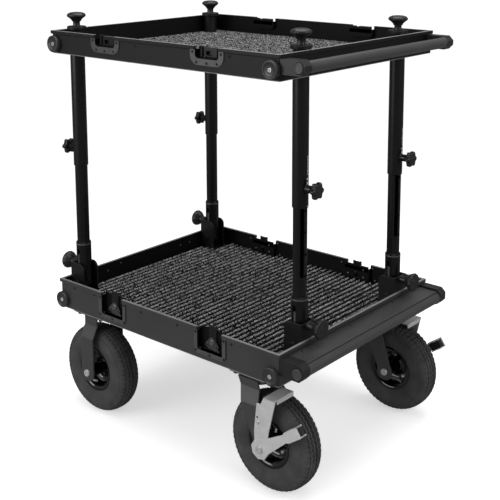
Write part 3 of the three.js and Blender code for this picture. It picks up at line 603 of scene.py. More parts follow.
def mirrored(profile: Outline, side: int) -> list[tuple[float, float]]:
    """Return a profile with its heights turned to one side."""
    return [(radius, side * height) for radius, height in profile]


def grid_faces(rows: int, count: int, closed: bool) -> list[tuple[int, int, int, int]]:
    """Return the faces between rows of points, each row a closed loop.

    Args:
        rows: How many rows there are.
        count: Points in each row.
        closed: Whether the last row joins the first.

    Returns:
        The faces, as numbers of points.
    """
    faces = []
    for i in range(rows if closed else rows - 1):
        k = (i + 1) % rows
        for j in range(count):
            n = (j + 1) % count
            faces.append((i * count + j, i * count + n, k * count + n, k * count + j))
    return faces


def linked_object(name: str, mesh: bpy.types.Mesh) -> bpy.types.Object:
    """Put a mesh in the scene as an object.

    Args:
        name: The object's name.
        mesh: Its mesh.

    Returns:
        The object.
    """
    made = bpy.data.objects.new(name, mesh)
    bpy.context.scene.collection.objects.link(made)
    return made


def plain_object(name: str, shape: bmesh.types.BMesh) -> bpy.types.Object:
    """Put a bmesh in the scene as an object, with its faces pointing outwards.

    Args:
        name: The object's name.
        shape: Its shape.

    Returns:
        The object.
    """
    bmesh.ops.recalc_face_normals(shape, faces=shape.faces)
    mesh = bpy.data.meshes.new(name)
    shape.to_mesh(mesh)
    return linked_object(name, mesh)


def settled_mesh(thing: bpy.types.Object) -> bpy.types.Mesh:
    """Apply an object's modifiers to a new mesh.

    Args:
        thing: The object.

    Returns:
        The mesh.
    """
    graph = bpy.context.evaluated_depsgraph_get()
    graph.update()
    return bpy.data.meshes.new_from_object(thing.evaluated_get(graph), preserve_all_data_layers=True,
                                           depsgraph=graph)


@dataclass
class Seat:
    """Where a finished piece goes: its body, its material slot and the node that it stands for."""

    body: str
    slot: str
    node: str = ""

    def take(self, piece: bpy.types.Object) -> bpy.types.Object:
        """Seat a finished object and report it.

        Args:
            piece: The object.

        Returns:
            The same object.
        """
        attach(piece, self.body)
        if self.node:
            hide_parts(self.node)
        LOG.info("%s rides on %s with %d faces", piece.name, self.body, len(piece.data.polygons))
        return piece


def finish_piece(name: str, stock: Stock, finishes: Sequence[Finish], seat: Seat, bevel: float = 0.0,
                 smooth: float = 32.0, steps: int = 2) -> bpy.types.Object:
    """Turn stock into a seated piece in metres.

    Args:
        name: The piece's name.
        stock: Its shapes, in millimetres.
        finishes: Its finishes, in the order of the marks.
        seat: Where it goes.
        bevel: Width of the rounding of its edges, in millimetres.
        smooth: Edges sharper than this angle, in degrees, are edges and not curves.
        steps: Facets across each rounding.

    Returns:
        The piece.
    """
    made = plain_object(name, stock.mesh)
    made.data.transform(SHIFT)
    for finish in finishes:
        made.data.materials.append(skin(finish))
    made.data.shade_smooth()
    if bevel:
        rounding = made.modifiers.new("edges", "BEVEL")
        rounding.width, rounding.segments = bevel * METRE, steps
        rounding.limit_method, rounding.angle_limit = "ANGLE", math.radians(smooth)
        rounding.harden_normals = True
        rounding.use_clamp_overlap = True
        shape = settled_mesh(made)
        made.modifiers.clear()
        made.data = shape
    else:
        made.data.set_sharp_from_angle(angle=math.radians(smooth))
    return seat.take(made)


def arc(centre: tuple[float, float], radius: float, start: float, end: float,
        count: int) -> list[tuple[float, float]]:
    """Return points of an arc between two angles in degrees, both ends included."""
    turns = [math.radians(start + (end - start) * i / count) for i in range(count + 1)]
    return [(centre[0] + radius * math.cos(a), centre[1] + radius * math.sin(a)) for a in turns]


def turned_place(x: float, y: float, degrees: float) -> Matrix:
    """Return a place at x and y, turned about Z."""
    return Matrix.Translation((x, y, 0)) @ Matrix.Rotation(math.radians(degrees), 4, "Z")


class RowTree:
    """A Geometry Nodes tree that turns a mesh of points or lines into finished rows."""

    def __init__(self, name: str, source: str, kinds: dict[str, str]) -> None:
        """Start the tree with its named inputs.

        Args:
            name: The tree's name.
            source: Name of the mesh input.
            kinds: Kind of socket of each further input, by name.
        """
        self.tree = bpy.data.node_groups.new(name, "GeometryNodeTree")
        sockets = self.tree.interface
        self.inputs = {key: sockets.new_socket(key, in_out="INPUT", socket_type=f"NodeSocket{kind}")
                       for key, kind in {source: "Geometry", **kinds, "Finish": "Material"}.items()}
        sockets.new_socket("Rows", in_out="OUTPUT", socket_type="NodeSocketGeometry")
        self.bench = Bench(self.tree)
        self.given = self.bench.node("NodeGroupInput").outputs

    def end(self, shapes: bpy.types.Node) -> None:
        """Realise shapes, give them their finish and hand them out.

        Args:
            shapes: The node that makes them.
        """
        real = self.bench.node("GeometryNodeRealizeInstances", {0: shapes.outputs[0]})
        sockets = {"Geometry": real.outputs[0], "Material": self.given["Finish"]}
        dressed = self.bench.node("GeometryNodeSetMaterial", sockets)
        self.bench.node("NodeGroupOutput", {0: dressed.outputs[0]})

    def grow(self, name: str, mesh: bpy.types.Mesh, values: dict[str, object], finish: Finish,
             seat: Seat) -> bpy.types.Object:
        """Run the tree on a mesh and seat the rows as one piece.

        Args:
            name: The piece's name.
            mesh: The points or lines, in millimetres.
            values: Values of the tree's inputs by name.
            finish: The finish of the rows.
            seat: Where they go.

        Returns:
            The piece.
        """
        made = linked_object(name, mesh)
        change = made.modifiers.new("rows", "NODES")
        change.node_group = self.tree
        for key, value in {**values, "Finish": skin(finish)}.items():
            change[self.inputs[key].identifier] = value
        shape = settled_mesh(made)
        made.modifiers.clear()
        made.data = shape
        shape.transform(SHIFT)
        return seat.take(made)


class FastenerRows(RowTree):
    """Stands a head on every point of a mesh, turned to its aim."""

    def __init__(self) -> None:
        """Build the tree."""
        super().__init__("fastener_rows", "Points", {"Head": "Object", "Size": "Float"})
        node = self.bench.node
        aim = node("GeometryNodeInputNamedAttribute", {"Name": "aim"}, data_type="FLOAT_VECTOR")
        turn = node("FunctionNodeAlignRotationToVector", {"Vector": aim.outputs[0]}, axis="Z")
        head = node("GeometryNodeObjectInfo", {"Object": self.given["Head"]})
        self.end(node("GeometryNodeInstanceOnPoints", {
            "Points": self.given["Points"], "Instance": head.outputs["Geometry"],
            "Rotation": turn.outputs[0], "Scale": self.given["Size"]}))

    def lay(self, name: str, head: Stock, places: Sequence[tuple[Point, Point]], finish: Finish,
            seat: Seat) -> bpy.types.Object:
        """Stand a head at each place and seat the row as one piece.

        Args:
            name: The piece's name.
            head: The head, drawn up +Z from the origin.
            places: Where each head stands, and the way that it points.
            finish: Its finish.
            seat: Where it goes.

        Returns:
            The piece.
        """
        stand = bpy.data.meshes.new(name)
        stand.from_pydata([place for place, _ in places], [], [])
        aims = stand.attributes.new("aim", "FLOAT_VECTOR", "POINT")
        aims.data.foreach_set("vector", [value for _, aim in places for value in aim])
        pattern = plain_object("head", head.mesh)
        pattern.data.shade_smooth()
        pattern.data.set_sharp_from_angle(angle=math.radians(32))
        made = self.grow(name, stand, {"Head": pattern, "Size": 1.0}, finish, seat)
        bpy.data.objects.remove(pattern)
        return made


class PileRows(RowTree):
    """Turns lines into lumpy rows of carpet pile."""

    def __init__(self) -> None:
        """Build the tree."""
        super().__init__("pile_rows", "Lines", {"Radius": "Float", "Flatness": "Vector", "Step": "Float",
                                                "Lump size": "Float", "Lump depth": "Float"})
        node, given = self.bench.node, self.given
        line = node("GeometryNodeMeshToCurve", {0: given["Lines"]})
        even = node("GeometryNodeResampleCurve", {"Curve": line.outputs[0], "Length": given["Step"]},
                    mode="LENGTH")
        circle = node("GeometryNodeCurvePrimitiveCircle", {"Resolution": 8, "Radius": given["Radius"]})
        section = node("GeometryNodeTransform", {"Geometry": circle.outputs[0], "Scale": given["Flatness"]})
        rows = node("GeometryNodeCurveToMesh", {"Curve": even.outputs[0], "Profile Curve": section.outputs[0],
                                                "Fill Caps": True})
        place = node("GeometryNodeInputPosition")
        scale = self.bench.maths("DIVIDE", 1.0, Wire(self.bench, given["Lump size"]))
        lumps = node("ShaderNodeTexNoise", {"Vector": place.outputs[0], "Scale": scale}, normalize=True)
        centred = node("ShaderNodeVectorMath", {0: lumps.outputs["Color"], 1: (0.5, 0.5, 0.5)},
                       operation="SUBTRACT")
        push = node("ShaderNodeVectorMath", {0: centred.outputs[0], "Scale": given["Lump depth"]},
                    operation="SCALE")
        moved = node("GeometryNodeSetPosition", {"Geometry": rows.outputs[0], "Offset": push.outputs[0]})
        self.end(node("GeometryNodeSetShadeSmooth", {"Geometry": moved.outputs[0]}))

    def weave(self, name: str, lines: Sequence[tuple[Point, Point]], values: dict[str, object],
              finish: Finish, seat: Seat) -> bpy.types.Object:
        """Run a row of pile along each line and seat the rows as one piece.

        Args:
            name: The piece's name.
            lines: The two ends of each row.
            values: Values of the tree's inputs by name, in millimetres.
            finish: The pile's finish.
            seat: Where it goes.

        Returns:
            The piece.
        """
        drawn = bpy.data.meshes.new(name)
        ends = [end for line in lines for end in line]
        drawn.from_pydata(ends, [(i, i + 1) for i in range(0, len(ends), 2)], [])
        return self.grow(name, drawn, values, finish, seat)


def rivet_head(radius: float, height: float) -> Stock:
    """Draw a low domed rivet head with a pressed centre.

    Args:
        radius: Its radius.
        height: Height of the dome.

    Returns:
        The head, seated at the origin.
    """
    shares = [(0, 0.6), (0.3, 0.62), (0.42, 1), (0.72, 0.85), (0.95, 0.4), (1, 0)]
    profile = [(radius * across, height * up) for across, up in shares]
    return Stock().turn([*profile, (0, -0.4)], Axis.Z, steps=16)


def socket_head(radius: float, height: float, drive: float) -> Stock:
    """Draw a round screw head with a hexagon socket.

    Args:
        radius: Its radius.
        height: Its height.
        drive: Radius of the socket's corners.

    Returns:
        The head, seated at the origin.
    """
    profile = [(0, -0.5), (radius, -0.5), (radius, height * 0.7), (radius * 0.86, height), (0, height)]
    hexagon = [(drive * math.cos(a), drive * math.sin(a)) for a in (math.pi * k / 3 for k in range(6))]
    socket = Stock().prism(hexagon, Axis.Z, (height * 0.25, height + 1))
    return Stock().turn(profile, Axis.Z, steps=28).carve(socket)


def hex_nut(radius: float, height: float) -> Stock:
    """Draw a hexagon bolt head with a chamfered face and a washer under it.

    Args:
        radius: Radius of its corners.
        height: Its height with the washer.

    Returns:
        The head, seated at the origin.
    """
    profile = [(0, 0.8), (radius, 0.8), (radius, height * 0.82), (radius * 0.86, height), (0, height)]
    head = Stock().turn(profile, Axis.Z, steps=6)
    return head.turn([(0, 0), (radius * 1.3, 0), (radius * 1.3, 1.2), (0, 1.2)], Axis.Z, steps=28)


def bay(x: float, half: float, floor: float, top: float, corner: float,
        grow: float) -> list[tuple[float, float]]:
    """Return the open outline of a latch dish, from its left top corner round its foot to its right.

    Args:
        x: Middle of the dish.
        half: Half its clear width.
        floor: Its clear foot.
        top: Where it ends.
        corner: Radius of the two corners at its foot.
        grow: How far the outline lies outside the clear width.

    Returns:
        The points.
    """
    radius = corner + grow
    left, right, foot = x - half - grow, x + half + grow, floor - grow
    return [(left, top), *arc((left + radius, foot + radius), radius, 180, 270, 8),
            *arc((right - radius, foot + radius), radius, 270, 360, 8), (right, top)]


@dataclass
class Dish:
    """A latch dish let into a long side, and the flange round it."""

    half: float
    floor: float
    corner: float
    flange: float
    depth: float = 14.0
    sheet: float = 2.0
    proud: float = 1.5

    def hollow(self, x: float, side: int, face: float, top: float) -> Stock:
        """Return the room that the dish takes out of the rail."""
        outline = bay(x, self.half, self.floor, top, self.corner, 0)
        return Stock().prism(outline, Axis.Y, (side * (face - self.depth), side * (face + 8)))

    def pan(self, stock: Stock, x: float, side: int, face: float, top: float) -> None:
        """Add the pan's back, its wall and its flange.

        Args:
            stock: The stock that they are added to.
            x: Middle of the dish.
            side: The long side it is in.
            face: Y of the outer face of the rail there.
            top: Where the dish ends.
        """
        inside, wall, rim = (bay(x, self.half, self.floor, top, self.corner, grow)
                             for grow in (0, self.sheet, self.flange))
        back = face - self.depth
        stock.prism(wall, Axis.Y, (side * (back - self.sheet), side * (back + 0.02)))
        stock.prism([*inside, *reversed(wall)], Axis.Y, (side * back, side * (face + 0.3)))
        stock.prism([*inside, *reversed(rim)], Axis.Y, (side * (face - 0.4), side * (face + self.proud)))


@dataclass
class Tray:
    """Rails, latch dishes, bumpers and rivets of one tray."""

    name: str
    body: str
    foot: float
    rim: float
    section: Outline
    dish: Dish
    bumper_z: float
    finish: HardFinish
    half_x: float = 396.0
    half_y: float = 326.0
    dish_x: tuple[float, float] = (-184.0, 176.0)
    bumper_x: tuple[float, float] = (-385.0, 376.0)

    def spots(self) -> list[tuple[int, float]]:
        """Return the side and the X place of each dish."""
        return [(side, x) for side in SIDES for x in self.dish_x]

    def rails(self) -> None:
        """Build the rails with the dishes cut out."""
        stock = Stock().surround(self.section, self.half_x, self.half_y)
        tool = Stock()
        for side, x in self.spots():
            tool.take(self.dish.hollow(x, side, self.half_y, self.rim + 5))
        stock.carve(tool)
        x, y = self.half_x - 3.9, self.half_y - 3.9
        # Painted shade on the rails' inner faces, and painted highlight on the lip tops and along the foot of
        # the outer faces.
        stock.paint(2, lambda n, c: abs(c.x) < x and abs(c.y) < y and min(c.x * n.x, c.y * n.y) < -1)
        stock.paint(1, lambda n, c: n.z > 0.9 and c.z > self.rim - 0.1)
        stock.paint(1, lambda n, c: c.z < self.foot + 1.2 and max(c.x * n.x, c.y * n.y) > 250)
        finish_piece(f"{self.name}_rails", stock, [self.finish, PAINTED_HIGHLIGHT_EDGE, PAINTED_SHADE_INSIDE],
                     Seat(self.body, "black_anodised_rail", f"{self.name}_frame"), 0.9, 30)

    def dishes(self) -> None:
        """Build the four pans, each with a black strip of painted shadow beside its flange and a sheet behind
        its top, their insides in painted shade.
        """
        stock = Stock()
        face, dish, lip = self.half_y, self.dish, self.rim - 9
        for side, x in self.spots():
            dish.pan(stock, x, side, face, lip)
            # Painted shadow: a black strip along the flange's side towards +X.
            edge = x + dish.half + dish.flange
            stock.block((edge, edge + 3.4), sorted((side * (face - 0.5), side * (face + 0.15))),
                        (dish.floor - 2, lip), 1)
            behind = sorted((side * (face - dish.depth - 2), side * (face - dish.depth)))
            stock.block((x - dish.half, x + dish.half), behind, (self.rim - 20, self.rim - 3))
        # Painted shade on the pans' backs and walls and on the sheet behind each top.
        stock.paint(2, lambda n, c: abs(c.y) < face - 0.6)
        finish_piece(f"{self.name}_latch_pans", stock, [PAN, PAINTED_SHADOW_BLACK, PAINTED_SHADE_INSIDE],
                     Seat(self.body, "black_anodised_rail"), 0.5, 40)

    def bumpers(self, rows: FastenerRows) -> None:
        """Build the round bumpers and the bright screws in them.

        Args:
            rows: The fasteners.
        """
        stock, screws = Stock(), []
        profile = [(0, -0.5), (23, -0.5), (23, 9.6), (22.2, 11.4), (20.6, 12), (17.9, 12), (17, 11.2),
                   (16.3, 10.6), (7.2, 10.6), (6.8, 8.4), (0, 8.4)]
        for side in SIDES:
            for x in self.bumper_x:
                stock.turn(mirrored(profile, side), Axis.Y, (x, side * self.half_y, self.bumper_z))
                screws.append(((x, side * (self.half_y + 8.4), self.bumper_z), (0, side, 0)))
        finish_piece(f"{self.name}_bumpers", stock, [HIGHLIGHT_LIT_BUMPER], Seat(self.body, "knob_plastic"), smooth=50)
        rows.lay(f"{self.name}_bumper_screws", socket_head(5.6, 3.0, 2.6), screws, BRIGHT,
                 Seat(self.body, "zinc"))

    def rivets(self, rows: FastenerRows, flange: Outline, rail: Outline) -> None:
        """Set the rivets of the flanges and of the rails.

        Args:
            rows: The tree that sets them.
            flange: Places on a flange, from the middle of its dish and above the floor.
            rail: Places on the long rails.
        """
        places = []
        for side in SIDES:
            out = side * (self.half_y + self.dish.proud)
            places += [((x + dx, out, z), (0, side, 0)) for x in self.dish_x for dx, z in flange]
            places += [((x, side * self.half_y, z), (0, side, 0)) for x, z in rail]
        rows.lay(f"{self.name}_rail_rivets", rivet_head(3.4, 1.3), places, RIVET,
                 Seat(self.body, "black_steel"))


def rail_section(foot: float, rim: float, ledge_top: float, ledge: float) -> list[tuple[float, float]]:
    """Return a rail's section, with its lip and inner ledge.

    Args:
        foot: Foot of the rail.
        rim: Top of its lip.
        ledge_top: Top of the ledge that bears the deck.
        ledge: How far the ledge reaches in.

    Returns:
        Places out from the rail's face, and heights.
    """
    lip = rim - 9
    wall, inner = 4, -4 - ledge
    top = [(0, foot), (0, foot + 1.8), (0, lip - 1.2), (1.2, lip), (wall, lip), (wall, rim), (-wall, rim),
           (-wall, ledge_top), (inner, ledge_top)]
    if ledge_top - 3 > foot + 3:
        top += [(inner, ledge_top - 3), (-wall, ledge_top - 3), (-wall, foot + 3), (inner, foot + 3)]
    return [*top, (inner, foot)]


@dataclass
class LowerTray(Tray):
    """The lower tray with its hooks, latch keys and ribbed carpet."""

    rib_pitch: float = 18.9
    rib_half: float = 6.2
    key_z: float = 345.0
    carpet_end: float = 391.7
    carpet_side: float = 309.7
    carpet_sheet: float = 2.0
    bracket_x: float = 337.7
    bracket_half: float = 27.3

    def hooks(self) -> None:
        """Build the hook plates that stand in the dishes."""
        stock = Stock()
        hook = [(-12.5, 327), (12.5, 327), (12.5, 374), (15.5, 377), (15.5, 388), (11, 388), (9, 386.6),
                (-9, 386.6), (-11, 388), (-13.5, 388), (-13.5, 372)]
        foot = [(-17, 329), (-17, 324), (21, 320.4), (21, 324), (14, 329)]
        for side, x in self.spots():
            stock.prism([(x + a, z) for a, z in hook], Axis.Y, (side * 312, side * 315))
            stock.prism([(x + a, z) for a, z in foot], Axis.Y, (side * 312.2, side * 314.8), 1)
        finish_piece("lower_hook_plates", stock, [CATCH, PAN], Seat(self.body, "black_steel"), 0.6, 30)

    def keys(self) -> None:
        """Build the three-cornered keys, one for each latch body."""
        dimple = [(0, 318.5), (2.6, 318.5), (3.4, 319.4), (5.2, 319.2), (6.0, 318.0), (0, 318.0)]
        # Painted shade: a black drop laid in the hollow of each dimple.
        drop = [(0, 318.7), (2.5, 318.7), (2.5, 318.2), (0, 318.2)]
        pin = [(0, 310), (5, 310), (5, 317), (8, 317), (8, 319.4), (6.8, 320.3), (2, 320.3), (1.6, 319.7),
               (0, 319.7)]
        lobes = [(0, 2, 11), (-16.5, -8.5, 6.2), (15.5, -10, 6.2)]
        for side, far in SIDE_NAMES.items():
            for x, end in zip(self.dish_x, ("rear", "front")):
                stock = Stock()
                rounds = [spot for a, b, r in lobes for spot in arc((x + a, self.key_z + b), r, 0, 350, 35)]
                outline = [rounds[i] for i in convex_hull_2d(rounds)]
                stock.prism(outline, Axis.Y, (side * 315.3, side * 318.3))
                for a, b, _ in lobes[1:]:
                    at = (x + a, 0, self.key_z + b)
                    stock.turn(mirrored(dimple, side), Axis.Y, at, 24)
                    stock.turn(mirrored(drop, side), Axis.Y, at, 24, 2)
                stock.turn(mirrored(pin, side), Axis.Y, (x, 0, self.key_z), 40, 1)
                key = f"latch_key_{end}_{far}"
                finish_piece(f"latch_wing_{end}_{far}", stock, [KEY, STUD, PAINTED_SHADOW_BLACK],
                             Seat(key, "latch_black", key), 0.4, 34)

    def studs(self, rows: FastenerRows) -> None:
        """Set the rivet ends on the insides of the rails and pans, and the bolts under the rails.

        Args:
            rows: The fasteners.
        """
        tails = [(-62, 367), (-44, 370), (49, 371), (-38, 322), (46, 322), (58, 336)]
        pins = [(-30, 344), (24, 364), (24, 342)]
        places = [((-391.9, y, z), (1, 0, 0)) for y, z in ((-158, 356), (-107, 367), (146, 357), (188, 357))]
        ends = []
        for side, x in self.spots():
            inside = side * (self.half_y - 4.1)
            back = side * (self.half_y - self.dish.depth - 2)
            places += [((x + dx, inside, z), (0, -side, 0)) for dx, z in tails]
            places += [((x + dx, back, z), (0, -side, 0)) for dx, z in pins]
            ends.append(((x - 3, back, 351), (0, -side, 0)))
        steel = Seat(self.body, "black_steel")
        rows.lay("lower_inner_rivets", rivet_head(2.8, 1.2), places, STUD, Seat(self.body, "zinc"))
        rows.lay("lower_latch_pins", rivet_head(5.4, 2.2), ends, RIVET, steel)
        under = [((x, side * 310, self.foot + 0.1), (0, 0, -1)) for side in SIDES for x in (-358, 237, 368)]
        rows.lay("under_rail_bolts", hex_nut(6.5, 8.5), under, RIVET, steel)

    def carpet(self, pile: PileRows) -> None:
        """Lay the carpet's backing and its rows of pile.

        Args:
            pile: The pile.
        """
        end, room, half = self.carpet_end, self.bracket_x, self.bracket_half
        stock = Stock().block((-end, end), (-self.carpet_side, self.carpet_side),
                              (DECK_TOP, DECK_TOP + self.carpet_sheet))
        tool = Stock()
        (_, _, rear_y, _), (_, _, front_y, _) = POST_PLACES
        for side in SIDES:
            tool.block((-400, -room), sorted((side * (rear_y - half), side * 330)), (320, 340))
            tool.block((room, 400), (side * front_y - half, side * front_y + half), (320, 340))
        stock.carve(tool)
        finish_piece("lower_carpet_backing", stock, [LOWER_PILE],
                     Seat(self.body, "ribbed_carpet", "lower_carpet"))
        lines = []
        count = int((2 * end - 2 * self.rib_half) / self.rib_pitch) + 1
        start = -(count - 1) * self.rib_pitch / 2
        for i in range(count):
            x = start + i * self.rib_pitch
            lines += [((x, low, 328.0), (x, high, 328.0)) for low, high in self.runs(x)]
        pile.weave("lower_carpet_ribs", lines, {
            "Radius": 1.0, "Flatness": (2.9, self.rib_half, 1.0), "Step": 2.6, "Lump size": 2.4,
            "Lump depth": 1.7}, LOWER_PILE, Seat(self.body, "ribbed_carpet"))

    def runs(self, x: float) -> list[tuple[float, float]]:
        """Find where a rib runs, clear of dishes and hinge brackets.

        Args:
            x: The rib's place.

        Returns:
            The stretches of Y that it covers.
        """
        end = self.half_y - 4.3
        if any(abs(x - dish) < 45 + self.rib_half for dish in self.dish_x):
            end = 308.5
        if x < -self.bracket_x + self.rib_half:
            end = 240.0
        if x > self.bracket_x - self.rib_half:
            return [(-end, -236.5), (-179.5, 179.5), (236.5, end)]
        return [(-end, end)]


@dataclass
class UpperTray(Tray):
    """The upper tray with its catches, collars and flat carpet."""

    half_carpet: tuple[float, float] = (391.7, 321.7)
    deck_span: tuple[float, float] = (1026.3, 1029.3)
    carpet_span: tuple[float, float] = (1029.6, 1031.6)
    loop_pitch: float = 5.6
    seat_radius: float = 24.0

    def catches(self) -> None:
        """Build the catch block in each dish."""
        stock = Stock()
        for side, x in self.spots():
            block = Stock().block((x - 8, x + 30), sorted((side * 311.8, side * 323.5)), (1061, 1083))
            block.carve(Stock().block((x - 4, x + 13), sorted((side * 316, side * 330)), (1064, 1074)))
            stock.take(block)
            stock.block((x - 34, x - 14), sorted((side * 312, side * 315)), (1056, 1084))
            stock.block((x - 26, x - 22), sorted((side * 315, side * 319)), (1058, 1082))
        finish_piece("upper_catch_blocks", stock, [CATCH], Seat(self.body, "latch_black"), 0.8, 30)

    def deck(self) -> None:
        """Build the deck with its seats and flanged collars."""
        half_x, half_y = self.half_carpet
        collar = [(8.3, 1026.3), (19, 1026.3), (19, 1083), (20, 1084.4), (25.2, 1084.4), (26, 1085.4),
                  (26, 1092.6), (24.6, 1094), (8.3, 1094)]
        stock = Stock().block((-half_x, half_x), (-half_y, half_y), self.deck_span)
        for x, y in [(x, side * y) for _, x, y, _ in POST_PLACES for side in SIDES]:
            stock.turn(collar, Axis.Z, (x, y, 0), ring=True)
            seat = Stock().rod(self.seat_radius, Axis.Z, (self.foot, 1027), (x, y, 0))
            stock.take(seat.carve(Stock().block((-377.7, 377.7), (-307.7, 307.7), (1020, 1040)), Cut.SHARED))
        finish_piece("upper_deck_sheet", stock, [UPPER_RAIL],
                     Seat(self.body, "black_deck_sheet", "upper_deck"), 0.5, 34)

    def carpet(self, pile: PileRows) -> None:
        """Lay the flat carpet as close rows of low loops.

        Args:
            pile: The pile.
        """
        half_x, half_y = self.half_carpet
        stock = Stock().block((-half_x, half_x), (-half_y, half_y), self.carpet_span)
        finish_piece("upper_carpet_backing", stock, [UPPER_PILE],
                     Seat(self.body, "flat_carpet", "upper_carpet"))
        count = int((2 * half_x - 6) / self.loop_pitch) + 1
        places = [-half_x + 3.2 + i * self.loop_pitch for i in range(count)]
        lines = [((x, -half_y + 1.5, 1031.4), (x, half_y - 1.5, 1031.4)) for x in places]
        pile.weave("upper_carpet_loops", lines, {
            "Radius": 1.0, "Flatness": (2.1, 2.9, 1.0), "Step": 6.0, "Lump size": 5.0, "Lump depth": 2.2},
            UPPER_PILE, Seat(self.body, "flat_carpet"))


@dataclass
class PushHandle:
    """A tube between two chamfered brackets with round caps."""

    name: str
    body: str
    tube: float
    z: float
    foot: float
    head: float
    nose: float
    cap: float
    reach: float = 450.0
    chamfer: float = 12.0

    def build(self) -> None:
        """Build the handle."""
        front, edge, cap, tube = self.reach + self.nose, self.chamfer, self.cap, self.tube
        at = (self.reach, 0, self.z)
        outline = [(RAIL_FACE, self.foot), (front - edge, self.foot), (front, self.foot + edge),
                   (front, self.head - edge), (front - edge, self.head), (RAIL_FACE, self.head)]
        lid = [(0, 324), (cap, 324), (cap, 326.6), (cap - 1.2, 328), (cap - 3.4, 328), (cap - 4, 327.3),
               (0, 327.3)]
        # Painted shadow: a black disc a little wider than the cap, showing as a dark ring round it on the
        # bracket.
        shade = [(0, 324.6), (cap + 1.8, 324.6), (cap + 1.8, 325.3), (0, 325.3)]
        ring = [(tube + 1, 297.5), (tube + 1, 295.4), (tube + 0.3, 294.6), (0, 294.6), (0, 297.5)]
        stock = Stock()
        for side in SIDES:
            stock.prism(outline, Axis.Y, (side * 297, side * 325), 1)
            stock.turn(mirrored(lid, side), Axis.Y, at)
            stock.turn(mirrored(shade, side), Axis.Y, at, 48, 2)
            stock.turn(mirrored(ring, side), Axis.Y, at)
        stock.rod(tube, Axis.Y, (-296, 296), at)
        finish_piece(f"{self.name}_push_tube", stock, [HIGHLIGHT_LIT_HANDLE, BRACKET, PAINTED_SHADOW_BLACK],
                     Seat(self.body, "black_handle", f"{self.name}_handle"), 1.1, 32, 3)


@dataclass
class StepPlate:
    """The step over the lower handle."""

    top: float = 365.4
    half: float = 296.7
    sheet: float = 3.5
    nose: float = 453.2
    drop: float = 24.0

    def build(self, rows: FastenerRows) -> None:
        """Build the plate with its rolled nose and the screws along its rail side.

        Args:
            rows: The fasteners.
        """
        top, foot, hem = self.top, self.top - self.sheet, self.top - self.drop
        back = RAIL_FACE + self.sheet
        nose = arc((self.nose, top - self.sheet / 2), self.sheet / 2, 90, -90, 8)
        outline = [(RAIL_FACE, top), *nose, (back, foot), (back, hem), (RAIL_FACE, hem)]
        stock = Stock().prism(outline, Axis.Y, (-self.half, self.half))
        finish_piece("step_plate_sheet", stock, [OVERHEAD_LIT_STEP], Seat("chassis", "black_handle", "step_plate"),
                     0.6, 40)
        places = [((405.5, y, top), (0, 0, 1)) for y in range(-250, 251, 100)]
        rows.lay("step_plate_rivets", rivet_head(2.6, 0.9), places, RIVET, Seat("chassis", "black_steel"))


